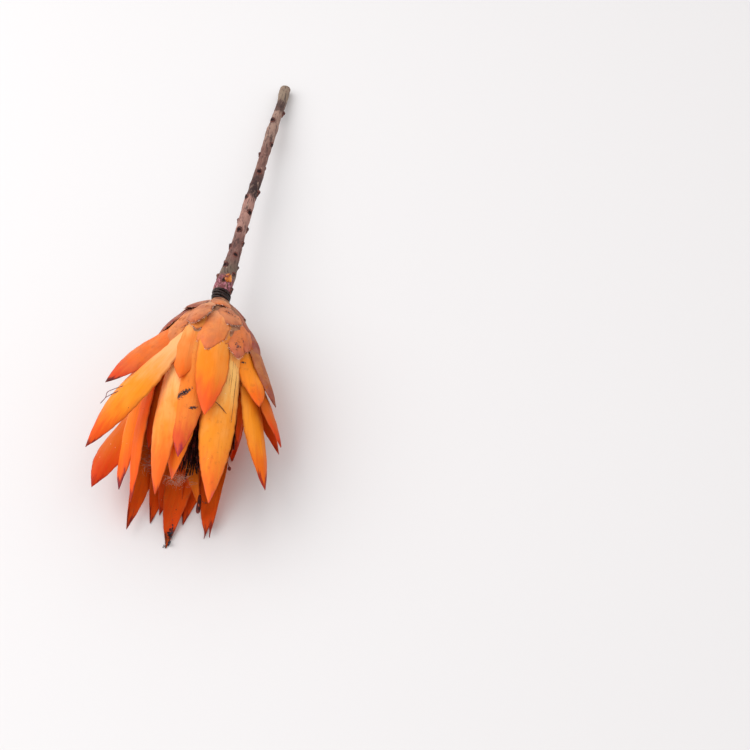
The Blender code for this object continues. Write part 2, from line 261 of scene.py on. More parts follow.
@dataclass(frozen=True)
class Tone:
    """How a bract ripened and wore: its colours from root to point, and where one turns into the next.

    Args:
        root: Colour at the root.
        middle: Colour of the blade.
        tip: Colour near the tip.
        point: Colour of the last few millimetres.
        middle_at: Share of the length where root has turned into middle.
        tip_at: Share of the length where middle has turned into tip.
        point_at: Share of the length where tip has turned into point.
        dust: How dull and bruised its face has become, 0 to 1.
        wax: How much pale wax is left on it, 0 to 1; the wax also stands in for sheen, a painted
            highlight.
        spots: How many specks it carries, 0 to 1.
    """

    root: str
    middle: str
    tip: str
    point: str
    middle_at: float = 0.4
    tip_at: float = 0.86
    point_at: float = 0.975
    dust: float = 0.0
    wax: float = 0.3
    spots: float = 0.25

    PARTS: ClassVar[tuple[str, ...]] = ("root", "middle", "tip", "point")

    def attributes(self) -> dict[str, tuple[float, ...]]:
        """Give what the finish reads on the bract.

        Returns:
            A vector for each attribute's name.
        """
        tones = {f"{part}_tone": linear_colour(getattr(self, part))[:3] for part in self.PARTS}
        turning = (self.middle_at, self.tip_at, self.point_at)
        # The middle number of wear is the wax, which also paints in the sheen as a highlight.
        return tones | {"turning": turning, "wear": (self.dust, self.wax, self.spots)}


class Ripeness(Enum):
    """The kinds of bract on this head, from its base to its opening."""

    SCALE = Tone("#E4A880", "#DE8858", "#D47440", "#9C5038", dust=0.35, spots=0.9)
    DUSTY_SCALE = Tone("#C8907C", "#C07A62", "#A85A4A", "#7A3844", dust=0.7, spots=1.0)
    PURPLE_SCALE = Tone("#A0605C", "#984844", "#8C3638", "#5C242C", dust=0.6, spots=1.0)
    WORN = Tone("#DC8E50", "#E88A4A", "#E07638", "#B45434", dust=0.25, spots=0.8)
    WORN_RED = Tone("#E08C44", "#E47A3C", "#CC6444", "#A84A38", dust=0.25, wax=0.1, spots=0.9)
    OLIVE = Tone("#E8A040", "#EC9A34", "#E68838", "#BC6430", dust=0.15, spots=0.6)
    DUSTY_PEACH = Tone("#F0A070", "#EC8442", "#E6743A", "#C86434", dust=0.2, wax=0.5, spots=0.4)
    PEACH = Tone("#F6B068", "#EC7E34", "#EE6A1E", "#E0642A", wax=0.5)
    SALMON = Tone(
        "#EE8440", "#EE7028", "#DE4A28", "#5A2028", 0.3, 0.84, 0.96, dust=0.12, wax=0.35, spots=0.55,
    )
    GOLD = Tone("#F8AC58", "#F78A1C", "#F0661A", "#CC5020", spots=0.5)
    GOLD_STREAKED = Tone(
        "#FFC884", "#F98C2C", "#F06824", "#C84828", 0.45, 0.8, 0.98, wax=0.8, spots=0.4,
    )
    GOLD_CORAL_TIP = Tone("#F09C38", "#F5851E", "#F25C24", "#E8603C", 0.4, 0.8, 0.99)
    GOLD_RED_TIP = Tone("#F8B478", "#F88F1E", "#E45014", "#7A2428", 0.45, 0.84, 0.97, wax=0.4)
    GOLD_DARK_TIP = Tone("#EC8810", "#FA9420", "#E46410", "#98281C", 0.35, 0.82, 0.94)
    GOLD_PINK_TIP = Tone(
        "#DC8438", "#EE7E2C", "#D64C2A", "#A83040", 0.4, 0.86, 0.97, wax=0.4, spots=0.55,
    )
    ORANGE = Tone("#EC8020", "#F5741C", "#E64E18", "#B0301C", 0.4, 0.82, 0.97)
    # Lighter than the other oranges: painted light for bracts that lie in the shade of others.
    BRIGHT = Tone("#F89838", "#FF8820", "#FF7C28", "#FA7446", 0.4, 0.9, 0.985)
    ORANGE_PURPLE_TIP = Tone("#F08C28", "#FA7E18", "#E85824", "#702034", 0.4, 0.9, 0.965)
    DEEP_ORANGE = Tone("#D87012", "#D05E0A", "#D24014", "#A82C18", 0.4, 0.86, 0.97)
    RED_ORANGE = Tone("#F08024", "#F86C18", "#EC5418", "#A03024", 0.4, 0.88, 0.98)
    DUSKY = Tone(
        "#C08440", "#BA6A30", "#944030", "#6A2C28", 0.4, 0.8, 0.96, dust=0.4, wax=0.1, spots=1.0,
    )
    CREAM = Tone("#F8C06C", "#F79228", "#F06C28", "#E85C48", 0.46, 0.86, 0.985, wax=0.6, spots=0.5)
    INNER = Tone("#E06A10", "#EC620C", "#D8480E", "#7A2420", 0.4, 0.86, 0.965, spots=0.5)
    INNER_DARK = Tone("#E46C10", "#EA5E10", "#D04010", "#32100E", 0.4, 0.86, 0.95, spots=0.6)


@dataclass(frozen=True)
class Shape:
    """The outline and section that a row's bracts share, and how finely they are meshed.

    Args:
        release: Share of the length where a bract leaves the closed head.
        root_share: Width at the root, as a share of the full width.
        widest_at: Share of the length where it is widest.
        tip_power: How blunt the tip is.
        cup: How far the margins drop, as a share of half the width.
        rows: Faces along it.
        columns: Faces across each half.
        ragged: How far the margin is torn or waved, as a share of half the width.
        body: Thickness, as a share of the full thickness.
        hook: Most that a tip turns in or out.
        press: How far a tip is pressed onto what lies under it.
    """

    release: float
    root_share: float
    widest_at: float
    tip_power: float
    cup: float
    rows: int
    columns: int
    ragged: float
    body: float
    hook: float
    press: float = 0.0

    def half_width(self, width: float, share: np.ndarray) -> np.ndarray:
        """Half the width along a bract: a narrow root, a full middle and a pointed tip.

        Args:
            width: The bract's full width.
            share: Shares of its length.

        Returns:
            Half widths in millimetres.
        """
        opened = np.sin(0.5 * math.pi * np.clip(share / self.widest_at, 0, 1))
        rising = self.root_share + (1 - self.root_share) * opened
        past = np.clip((share - self.widest_at) / (1 - self.widest_at), 0, 1)
        return 0.5 * width * np.where(share < self.widest_at, rising, 1 - past ** self.tip_power)


SCALE = Shape(0.0, 0.7, 0.5, 2.6, 0.3, 26, 8, 0.05, 0.55, 0.25, 0.6)
OVATE = Shape(0.15, 0.6, 0.5, 2.2, 0.36, 34, 9, 0.03, 0.75, 0.5, 0.4)
LANCE = Shape(0.25, 0.5, 0.5, 2.1, 0.36, 52, 9, 0.015, 1.0, 0.9)
BROAD = Shape(0.25, 0.4, 0.68, 1.6, 0.3, 52, 10, 0.015, 1.0, 0.9)


@dataclass(frozen=True)
class Bract:
    """One bract: its bearing about the axis at root and tip, and where the tip reaches.

    Args:
        root_around: Bearing of the root.
        tip_around: Bearing of the tip.
        tip_along: Distance of the tip from the neck.
        lift: How far the tip stands out from the closed head.
        width: Full width.
        ripeness: Its kind of colour and wear.
        face: Bearing that the outer face looks along at the tip, if not the tip's own.
        bow: How far its middle stands out of the line from root to tip.
        cleft: Share of the length that the tip is split for.
    """

    root_around: float
    tip_around: float
    tip_along: float
    lift: float
    width: float
    ripeness: Ripeness
    face: float | None = None
    bow: float = 0.0
    cleft: float = 0.0


@dataclass(frozen=True)
class Row:
    """Bracts that root at the same distance from the neck.

    Args:
        name: The name of the piece that holds them.
        root_along: Distance of the roots from the neck.
        shape: The shape that they share.
        bracts: The bracts.
    """

    name: str
    root_along: float
    shape: Shape
    bracts: tuple[Bract, ...]


ROWS = (
    Row("neck_scales", 0.5, SCALE, (
        Bract(20, 20, 12, 0.3, 11, Ripeness.SCALE),
        Bract(71, 71, 12, -0.3, 11, Ripeness.PURPLE_SCALE),
        Bract(123, 123, 12, 0.0, 11, Ripeness.SCALE),
        Bract(174, 174, 13, 0.3, 11, Ripeness.SCALE),
        Bract(-134, -134, 12, 0.3, 11, Ripeness.PURPLE_SCALE),
        Bract(-83, -83, 14, 3.0, 12, Ripeness.PURPLE_SCALE),
        Bract(-31, -35, 14, 1.8, 12, Ripeness.DUSTY_SCALE),
    )),
    Row("base_scales", 5, SCALE, (
        Bract(-60, -60, 28, 3.2, 13, Ripeness.PURPLE_SCALE),
        Bract(-20, -10, 28.2, 1.5, 12.1, Ripeness.SCALE, -18.5, 0.8),
        Bract(29, 29, 25, 0.4, 14, Ripeness.SCALE),
        Bract(74, 74, 25, 0.0, 13, Ripeness.PURPLE_SCALE),
        Bract(119, 119, 25, 0.0, 13, Ripeness.SCALE),
        Bract(164, 164, 26, 0.0, 14, Ripeness.SCALE),
        Bract(-151, -151, 26, 0.3, 14, Ripeness.SCALE),
        Bract(-104, -100, 27, 3.4, 13, Ripeness.WORN),
    )),
    Row("ovate_bracts", 10, OVATE, (
        Bract(-36, -46, 38, 2.6, 12, Ripeness.WORN),
        Bract(9, 8, 41.5, 0.8, 15, Ripeness.DUSTY_PEACH),
        Bract(47.6, 43.5, 41.5, 1.4, 11.5, Ripeness.WORN_RED, 45.5, -0.5),
        Bract(68, 76, 34, 2.8, 12, Ripeness.PURPLE_SCALE, 60),
        Bract(112, 112, 38, 0.8, 13, Ripeness.WORN),
        Bract(144, 144, 38, 0.0, 14, Ripeness.WORN_RED),
        Bract(180, 180, 39, 0.0, 14, Ripeness.WORN),
        Bract(-136, -136, 38, 0.5, 14, Ripeness.DUSTY_PEACH),
        Bract(-84, -88, 38, 3.0, 13, Ripeness.WORN),
    )),
    Row("lance_bracts", 14, LANCE, (
        Bract(-38, -60.5, 61, 21.5, 12.6, Ripeness.SALMON, 0, 0.5),
        Bract(-17.5, -18.5, 57.3, 1.1, 12.4, Ripeness.PEACH, 2, -0.5),
        Bract(17, 15.3, 74.8, 2.1, 14.4, Ripeness.GOLD_CORAL_TIP, 3.5, 0.8),
        Bract(71.3, 69.2, 61.1, 7.1, 13.4, Ripeness.GOLD, 20, -0.5),
        Bract(76, 85, 56, 10.6, 11, Ripeness.DUSKY, 60, 1.6),
        Bract(114, 118, 60, 5.5, 13, Ripeness.ORANGE),
        Bract(152, 155, 60, 0.0, 14, Ripeness.GOLD),
        Bract(-166, -165, 58, 0.0, 14, Ripeness.ORANGE),
        Bract(-124, -126, 62, 4.5, 14, Ripeness.GOLD_RED_TIP),
        Bract(-90, -96, 60, 11.5, 12, Ripeness.SALMON),
    )),
    Row("long_bracts", 18, LANCE, (
        Bract(-35.8, -60, 94.4, 22.7, 16, Ripeness.GOLD_RED_TIP, -6.5, 4.3),
        Bract(-9.8, -4.5, 95.5, 1.0, 14.3, Ripeness.GOLD_PINK_TIP, -1, -0.5),
        Bract(82, 80.6, 98, 11.8, 13.6, Ripeness.GOLD_DARK_TIP, 48, 0.6),
        Bract(84.4, 84.5, 76, 16.4, 11.2, Ripeness.DEEP_ORANGE, 66, 0.6),
        Bract(-62.8, -95, 98.3, 7.0, 16.2, Ripeness.ORANGE_PURPLE_TIP, -32.4, 5.1),
        Bract(96, 105, 71.5, 14.7, 12, Ripeness.DEEP_ORANGE, 125, 0.3),
        Bract(138, 146, 70, 4.2, 13, Ripeness.RED_ORANGE),
        Bract(170, 172, 88, 0.0, 13, Ripeness.GOLD),
        Bract(-136, -148, 99, 3.0, 14, Ripeness.ORANGE),
    )),
    Row("broad_bract", 18, BROAD, (
        Bract(-100.8, -89.8, 99.5, 18.0, 16.3, Ripeness.DEEP_ORANGE, -0.6, 3.4),
    )),
    Row("opening_bracts", 22, LANCE, (
        Bract(-44, -18, 113.7, 1.7, 12, Ripeness.GOLD_STREAKED, -3, 1.3),
        Bract(-16, -12, 103, -4.5, 14, Ripeness.BRIGHT),
        Bract(35.3, 35.6, 113.2, 1.0, 15.2, Ripeness.CREAM, 22.3, -0.5),
        Bract(44, 52, 96, -3.5, 12, Ripeness.GOLD),
        Bract(154, 156, 109, -0.2, 15, Ripeness.INNER, 156, cleft=0.07),
        Bract(-64, -76.4, 108.5, -0.5, 12.3, Ripeness.RED_ORANGE, -45.5, 5.0),
        Bract(-111.6, -123, 109.4, 7.7, 13.9, Ripeness.INNER, -143.4, 1.7),
        Bract(-131.2, -141.6, 103.3, 4.8, 13.9, Ripeness.INNER, -146, 1.0),
        Bract(-170.8, -158, 114.3, 0.5, 14.7, Ripeness.INNER_DARK, -185, 0.3),
        Bract(-187.7, -171, 102.9, 0.6, 13.1, Ripeness.INNER, -150),
    )),
    Row("inmost_bracts", 25, LANCE, (
        Bract(90, 96, 76, -3.5, 12, Ripeness.ORANGE),
        Bract(124, 128, 74, -3.5, 12, Ripeness.ORANGE),
        Bract(-48, -76, 82, -3.0, 11, Ripeness.ORANGE, -25),
        Bract(-108, -194, 97, -6.5, 7, Ripeness.BRIGHT),
    )),
)

TUCKED_SCALES = Row("tucked_scales", 7, SCALE, (
    Bract(-62, -61, 34, 0.9, 13, Ripeness.WORN),
    Bract(-38, -38, 30, 1.0, 14, Ripeness.SCALE),
    Bract(-9, -8, 30, -0.5, 11, Ripeness.OLIVE),
    Bract(26, 27, 36, -0.6, 12, Ripeness.OLIVE),
    Bract(52, 56, 35, 0.6, 13, Ripeness.WORN_RED),
    Bract(95, 96, 34, 0.3, 14, Ripeness.WORN),
    Bract(142, 142, 33, -0.5, 14, Ripeness.OLIVE),
    Bract(-170, -170, 33, -0.5, 14, Ripeness.WORN),
    Bract(-128, -126, 34, 0.4, 14, Ripeness.WORN_RED),
    Bract(-92, -92, 34, 0.9, 14, Ripeness.WORN),
))


@dataclass(frozen=True)
class HeadForm:
    """The closed head that the bracts follow: a dome from the neck to the shoulder, then straight."""

    axis_height: float = 20.9
    neck_to_rest: float = 32.0
    neck_radius: float = 4.3
    radius: float = 21.5
    shoulder_along: float = 28.0
    dome_rise: float = 1.5
    dome_fullness: float = 0.75
    shoulder_bow: float = -0.8
    bow_along: float = 50.0

    def radius_at(self, along: np.ndarray) -> np.ndarray:
        """Radius of the closed head.

        Args:
            along: Distances from the neck.

        Returns:
            The radius at each.
        """
        rise = np.clip(1 - along / self.shoulder_along, 0, 1)
        dome = (1 - rise ** self.dome_rise) ** self.dome_fullness
        return self.neck_radius + (self.radius - self.neck_radius) * dome

    def point(self, along: np.ndarray, around: np.ndarray, out: np.ndarray) -> np.ndarray:
        """Turn places on the head into the frame.

        Args:
            along: Distances from the neck.
            around: Bearings about the axis.
            out: Distances from the axis.

        Returns:
            Points in millimetres.
        """
        bearing = np.radians(around)
        bow = self.shoulder_bow * np.sin(math.pi * np.clip(along, 0, self.bow_along) / self.bow_along)
        return np.stack([
            bow + out * np.sin(bearing),
            self.neck_to_rest - along + 0 * out,
            self.axis_height + out * np.cos(bearing),
        ], axis=-1)


@dataclass(frozen=True)
class BladeSurface:
    """The meshed middle surface of one bract, with what its finish needs to know.

    Args:
        points: Places in millimetres, one row of the grid after another.
        outward: Direction out of the face at each point.
        faces: Corners of each face.
        blade: Side from -1 to 1, share of the length and a number drawn for this bract.
        place: Millimetres across and along, and the drawn number spread out.
        tone: How it ripened and wore.
        fullness: Share of the full thickness.
    """

    points: np.ndarray
    outward: np.ndarray
    faces: np.ndarray
    blade: np.ndarray
    place: np.ndarray
    tone: Tone
    fullness: np.ndarray

    def attributes(self) -> dict[str, np.ndarray]:
        """Give what the finish reads at each point.

        Returns:
            A row of three numbers for each point, by the attribute's name.
        """
        count = len(self.points)
        tones = {name: np.tile(value, (count, 1)) for name, value in self.tone.attributes().items()}
        return {"blade": self.blade, "place": self.place} | tones

    def spots(self, where: np.ndarray) -> tuple[np.ndarray, np.ndarray]:
        """Find spots on the surface, or just past its margin, from a flat fit to the points nearby.

        Args:
            where: Millimetres across and along, one row for each spot.

        Returns:
            The spots and the directions out of the face there.
        """
        gaps = np.linalg.norm(self.place[None, :, :2] - where[:, None], axis=2)
        found = []
        for spot, near in zip(where, np.argsort(gaps, axis=1)[:, :8]):
            local = np.column_stack([self.place[near, :2] - spot, np.ones(len(near))])
            known = np.hstack([self.points[near], self.outward[near]])
            found.append(np.linalg.lstsq(local, known, rcond=None)[0][-1])
        return np.array(found)[:, :3], np.array(found)[:, 3:]


@dataclass
class BractBuilder:
    """Shapes the bracts: the same curves as the solid head, with thin waved margins and hooked tips.

    Args:
        form: The closed head.
        thickness: Thickness of a bract at its middle.
        margin_share: Thickness at the margin, as a share of that.
        tip_thinning: How much thinner a bract is at its tip.
        sink: How deep a root lies under the surface of the closed head.
        splay_power: How late a bract bends away.
        roll_most: Most that a bract is rolled about its own length.
        ripple: Height of the waves on a face.
        waves_along: Length and strength of the waves along a face.
        waves_across: The same of those across it.
        teeth: Pitch and strength of the teeth on a margin.
        waved_over: Shares of the length over which the waves set in.
        hooked_over: The same of the hook.
        pressed_over: The same of the press.
        cleft_half_width: Half the gap in a split tip, as a share of the full width.
        tangent_step: Share of the length over which a bract's direction is read.
        tip_crowding: How much closer the rows of faces are near the tip.
        tint_spread: How far the drawn number shifts a bract's pattern.
        seed: Seed of the draws that the solids also make.
    """

    form: HeadForm
    thickness: float = 0.8
    margin_share: float = 0.45
    tip_thinning: float = 0.35
    sink: float = 3.0
    splay_power: float = 1.05
    roll_most: float = 9.0
    ripple: float = 0.22
    waves_along: Table = ((26.0, 0.5), (15.0, 0.3), (9.0, 0.2), (5.0, 0.1))
    waves_across: Table = ((6.5, 0.35), (3.4, 0.2))
    teeth: Table = ((7.0, 1.0), (3.1, 0.7), (1.3, 0.5))
    waved_over: tuple[float, float] = (0.1, 0.3)
    hooked_over: tuple[float, float] = (0.75, 1.15)
    pressed_over: tuple[float, float] = (0.4, 1.0)
    cleft_half_width: float = 0.1
    tangent_step: float = 0.02
    tip_crowding: float = 1.25
    tint_spread: float = 40.0
    seed: int = 11

    def __post_init__(self) -> None:
        """Start the draw of each bract's roll."""
        self.rolls = random.Random(self.seed)

    def centre(self, row: Row, bract: Bract, share: np.ndarray) -> np.ndarray:
        """Points on a bract's midline.

        Args:
            row: The bract's row.
            bract: The bract.
            share: Shares of its length.

        Returns:
            Points in millimetres.
        """
        along = row.root_along + (bract.tip_along - row.root_along) * share
        around = bract.root_around + (bract.tip_around - bract.root_around) * share
        release = row.shape.release
        freed = np.clip((share - release) / (1 - release), 0, 1) ** self.splay_power
        out = self.form.radius_at(along) - self.sink * (1 - share) + bract.lift * freed
        return self.form.point(along, around, out + bract.bow * np.sin(math.pi * share))

    def directions(
        self, row: Row, bract: Bract, roll: float, share: np.ndarray
    ) -> tuple[np.ndarray, np.ndarray]:
        """Directions across a bract and out of its face.

        Args:
            row: The bract's row.
            bract: The bract.
            roll: How far it is rolled about its length.
            share: Shares of its length.

        Returns:
            Unit vectors across, and out of the face.
        """
        ahead = self.centre(row, bract, np.minimum(1, share + self.tangent_step))
        tangent = unit(ahead - self.centre(row, bract, np.maximum(0, share - self.tangent_step)))
        face = bract.tip_around if bract.face is None else bract.face
        bearing = np.radians(bract.root_around + (face - bract.root_around) * share)
        outward = np.stack([np.sin(bearing), 0 * bearing, np.cos(bearing)], axis=-1)
        across = unit(np.cross(outward, tangent))
        turn = roll * DEGREE
        across = across * math.cos(turn) + np.cross(tangent, across) * math.sin(turn)
        return across, np.cross(tangent, across)

    def waves(self, draw: random.Random, across: np.ndarray, along: np.ndarray) -> np.ndarray:
        """Gentle waves over a face, from a few crossed sines.

        Args:
            draw: The bract's own draw.
            across: Millimetres across.
            along: Millimetres along.

        Returns:
            Heights from about -1 to 1.
        """
        height = 0.0
        for length, strength in self.waves_along:
            lean, phase = draw.uniform(-0.7, 0.7), draw.uniform(0, math.tau)
            height = height + strength * np.sin(math.tau * (along + 2 * lean * across) / length + phase)
        for length, strength in self.waves_across:
            phase = draw.uniform(0, math.tau) + 0.03 * along
            height = height + strength * np.sin(math.tau * across / length + phase)
        return height

    def surface(self, row: Row, bract: Bract) -> BladeSurface:
        """Mesh one bract's middle surface, its two halves with a seam between them.

        Args:
            row: The bract's row.
            bract: The bract.

        Returns:
            The surface and what its finish needs.
        """
        roll = self.rolls.uniform(-self.roll_most, self.roll_most)
        draw = random.Random(f"{row.name} {bract.root_around}")
        number = draw.random()
        shape = row.shape
        share = 1 - (1 - np.linspace(0, 1, shape.rows + 1)[:, None]) ** self.tip_crowding
        along = share * (bract.tip_along - row.root_along)
        across, normal = self.directions(row, bract, roll, share)
        half = shape.half_width(bract.width, share * (1 - 0.5 * bract.cleft))
        signs = np.repeat((-1.0, 1.0), shape.columns + 1)
        sides = np.linspace(0, 1, shape.columns + 1)
        sides = np.concatenate([sides[::-1], sides])
        fray = 1.0
        for sign in (-1, 1):
            teeth = sum(
                strength * np.sin(math.tau * along / pitch + draw.uniform(0, 6))
                for pitch, strength in self.teeth
            )
            fray = fray + (signs == sign) * shape.ragged * teeth
        edge, prong = half, 0 * half
        if bract.cleft:
            split = np.clip((share - 1 + bract.cleft) / bract.cleft, 0, 1)
            tip = self.cleft_half_width * bract.width
            edge, prong = half * (1 - split) + tip * split, tip * split ** 0.8
        lateral = signs * (prong + sides * (edge - prong) * fray)
        level = lateral / np.maximum(half, 1e-3)
        drop = shape.cup * half * np.minimum(level * level, 1.2)
        lift = self.ripple * self.waves(draw, lateral, along) * smoothstep(*self.waved_over, share)
        hooked = shape.hook * smoothstep(*self.hooked_over, share)
        pressed = shape.press * smoothstep(*self.pressed_over, share)
        lift = lift + draw.uniform(-1, 0.6) * hooked - pressed
        sideways = lateral + draw.uniform(-1, 1) * hooked
        points = self.centre(row, bract, share) + across * sideways[..., None]
        points = points + normal * (lift - drop)[..., None]
        outward = unit(normal + across * (2 * shape.cup * np.clip(level, -1, 1))[..., None])
        fullness = 1 - (1 - self.margin_share) * sides ** 3
        fullness = shape.body * fullness * (1 - self.tip_thinning * share ** 3)
        points[..., 2] = np.maximum(points[..., 2], 0.5 * self.thickness * fullness + FLOOR_GAP)
        columns = len(sides)
        start = np.arange(points.size // 3).reshape(-1, columns)[:-1, :-1]
        start = np.delete(start, shape.columns, axis=1).ravel()
        blade, place = (
            np.stack(np.broadcast_arrays(*parts), axis=-1).reshape(-1, 3)
            for parts in ((signs * sides, share, number), (lateral, along, self.tint_spread * number))
        )
        return BladeSurface(
            points.reshape(-1, 3), outward.reshape(-1, 3),
            np.stack([start, start + columns, start + columns + 1, start + 1], axis=-1),
            blade, place, bract.ripeness.value, fullness.ravel(),
        )

    def row_piece(
        self, row: Row, skin: Material, lining: Material
    ) -> tuple[Object, list[BladeSurface]]:
        """Make the piece that holds one row of bracts.

        Args:
            row: The row.
            skin: Finish of the outer faces.
            lining: Finish of the inner faces.

        Returns:
            The piece and the surfaces of its bracts.
        """
        surfaces = [self.surface(row, bract) for bract in row.bracts]
        starts = np.cumsum([0] + [len(one.points) for one in surfaces[:-1]])
        points = np.concatenate([one.points for one in surfaces]) * MM
        faces = np.concatenate([one.faces + start for one, start in zip(surfaces, starts)])
        mesh = bpy.data.meshes.new(row.name)
        mesh.from_pydata(points.tolist(), [], faces.tolist())
        readings = [one.attributes() for one in surfaces]
        for name in readings[0]:
            set_attribute(mesh, name, np.concatenate([reading[name] for reading in readings]))
        obj = link_mesh(row.name, mesh)
        group = obj.vertex_groups.new(name="fullness")
        for index, value in enumerate(np.concatenate([one.fullness for one in surfaces])):
            group.add([index], float(value), "REPLACE")
        merged = bmesh.new()
        merged.from_mesh(mesh)
        bmesh.ops.remove_doubles(merged, verts=merged.verts, dist=MERGE_GAP * MM)
        merged.to_mesh(mesh)
        merged.free()
        for finish in (skin, lining):
            mesh.materials.append(finish)
        mesh.shade_smooth()
        walls = obj.modifiers.new("walls", "SOLIDIFY")
        walls.thickness = self.thickness * MM
        walls.offset = 0.0
        walls.vertex_group = group.name
        walls.material_offset = 1
        return obj, surfaces


class Finish:
    """What all finishes share: a material whose shader takes a colour, a height and a roughness."""

    name: str
    relief: float
    bump: float = 0.6
    shine: float = 0.5
    coat: float = 0.0

    def surface(self, node: Adder) -> tuple[NodeSocket, Node, float | Node]:
        """Add the nodes that give the look, and return its colour, height and roughness."""
        raise NotImplementedError

    def material(self) -> Material:
        """Build the material.

        Returns:
            The material.
        """
        material = bpy.data.materials.new(self.name)
        material.use_nodes = True
        tree = material.node_tree
        node = partial(add_node, tree)
        colour, height, roughness = self.surface(node)
        bump = node("ShaderNodeBump", {
            "Strength": self.bump, "Distance": self.relief * MM, "Height": height,
        })
        fill(tree, tree.nodes["Principled BSDF"], {
            "Base Color": colour, "Roughness": roughness, "Specular IOR Level": self.shine,
            "Coat Weight": self.coat, "Normal": bump,
        })
        return material


@dataclass(frozen=True)
class BractSkin(Finish):
    """Dried bract: a leathery blade with a waxy skin, gold to orange to red and purple at the point.

    The skin is satin, with fine ribs along it and patches of pale wax that are also a painted sheen.
    The old scales at the base have brown stains, dust and purple bruises, and specks of mould and
    of pale scurf. The lining shows the same ripening, browner, duller and more fibrous.
    """

    name: str = "waxy_dried_bract"
    browning: float = 0.0
    brown: str = "#B04A10"
    # Pale wax, laid in patches that also stand in for the skin's sheen: a painted highlight.
    wax: str = "#F8B46C"
    dust: str = "#B98066"
    bruise: str = "#8A4C48"
    rib: str = "#C8661E"
    stain: str = "#AE5A2A"
    speck: str = "#2C1512"
    scurf: str = "#F2DCC8"
    margin: str = "#A8502C"
    roughness: float = 0.5
    dust_roughness: float = 0.3
    shine: float = 0.1
    rib_pitch: float = 0.7
    relief: float = 0.22
    bump: float = 0.5
    fineness: float = 0.6
    turns: Table = ((-0.2, 0.14), (-0.2, 0.1), (-0.035, 0.02))

    def ripened(self, node: Adder, parts: Node, place: NodeSocket) -> NodeSocket:
        """Colour along the blade, from its root's to its point's.

        A slow noise shifts where the colours meet, so that they meet in ragged streaks.

        Args:
            node: Adds a node to the material.
            parts: Node that gives side, share and number.
            place: Millimetres across and along.

        Returns:
            The colour.
        """
        squared = node("ShaderNodeMath", {0: parts, 1: 2.0}, operation="POWER")
        aside = node("ShaderNodeMath", {
            0: squared, 1: 0.04, 2: parts.outputs[1],
        }, operation="MULTIPLY_ADD")
        drift, = clouds(node, place, [((0.6, 0.096, 0.6), 4.0)], self.fineness)
        drift = node("ShaderNodeMath", {0: drift, 1: 0.3, 2: -0.15}, operation="MULTIPLY_ADD")
        ripe = node("ShaderNodeMath", {0: aside, 1: drift})
        turning = node("ShaderNodeAttribute", attribute_name="turning").outputs["Vector"]
        starts = node("ShaderNodeSeparateXYZ", {0: turning}).outputs
        root, *tones = [
            node("ShaderNodeAttribute", attribute_name=f"{part}_tone").outputs["Vector"]
            for part in Tone.PARTS
        ]
        return laid(node, root, [
            (ripe, *[node("ShaderNodeMath", {0: start, 1: shift}) for shift in shifts], 1.0, tone)
            for start, shifts, tone in zip(starts, self.turns, tones)
        ])

    def weathered(
        self, node: Adder, colour: NodeSocket, parts: Node, place: NodeSocket
    ) -> tuple[NodeSocket, Node, NodeSocket]:
        """Lay wax with its painted sheen, ribs, dust, bruises, stains, darker margins and specks over
        the ripe colour.

        Args:
            node: Adds a node to the material.
            colour: The ripe colour.
            parts: Node that gives side, share and number.
            place: Millimetres across and along.

        Returns:
            The colour, the ribs' height and the amount of dust.
        """
        wear = node("ShaderNodeAttribute", attribute_name="wear").outputs["Vector"]
        dust, wax, spots = node("ShaderNodeSeparateXYZ", {0: wear}).outputs
        ribs, patches, mottle, blots, stains = clouds(node, place, [
            ((1 / self.rib_pitch, 0.035 / self.rib_pitch, 1.0), 3.0), ((0.13, 0.05, 1.0), 3.0),
            ((0.2, 0.2, 1.0), 5.0), ((0.2, 0.16, 1.0), 6.0), ((0.5, 0.3, 1.0), 9.0),
        ], self.fineness)
        side = node("ShaderNodeMath", {0: parts}, operation="ABSOLUTE")
        # Wax grows from none at 0.85 of the length to full at 0.3, and is also a painted sheen.
        wax_sheen_share = node("ShaderNodeMapRange", {0: parts.outputs[1], 1: 0.85, 2: 0.3, 4: wax})
        stained = node("ShaderNodeMath", {0: spots, 1: 2.0}, operation="POWER")
        browned = [(mottle, 0.2, 0.8, self.browning, self.brown)] if self.browning else []
        colour = laid(node, colour, [
            *browned,
            (patches, 0.42, 0.68, wax_sheen_share, self.wax),
            (ribs, 0.5, 0.8, 0.3, self.rib),
            (mottle, 0.3, 0.62, dust, self.dust),
            (blots, 0.44, 0.62, dust, self.bruise),
            (stains, 0.56, 0.66, stained, self.stain),
            (side, 0.86, 1.0, 0.45, self.margin),
        ])
        dots = node("ShaderNodeTexVoronoi", {"Vector": place, "Scale": 0.4, "Randomness": 1.0})
        drawn = node("ShaderNodeSeparateColor", {0: dots.outputs["Color"]}).outputs
        reach = node("ShaderNodeMath", {0: drawn[1], 1: 0.045, 2: 0.02}, operation="MULTIPLY_ADD")
        small = node("ShaderNodeMath", {0: dots.outputs["Distance"], 1: reach}, operation="LESS_THAN")
        for lot, limit, code in ((drawn[0], 0.3, self.speck), (drawn[2], 0.12, self.scurf)):
            most = node("ShaderNodeMath", {0: spots, 1: limit}, operation="MULTIPLY")
            picked = node("ShaderNodeMath", {0: lot, 1: most}, operation="LESS_THAN")
            colour = laid(node, colour, [(small, 0.0, 1.0, picked, code)])
        return colour, ribs, dust

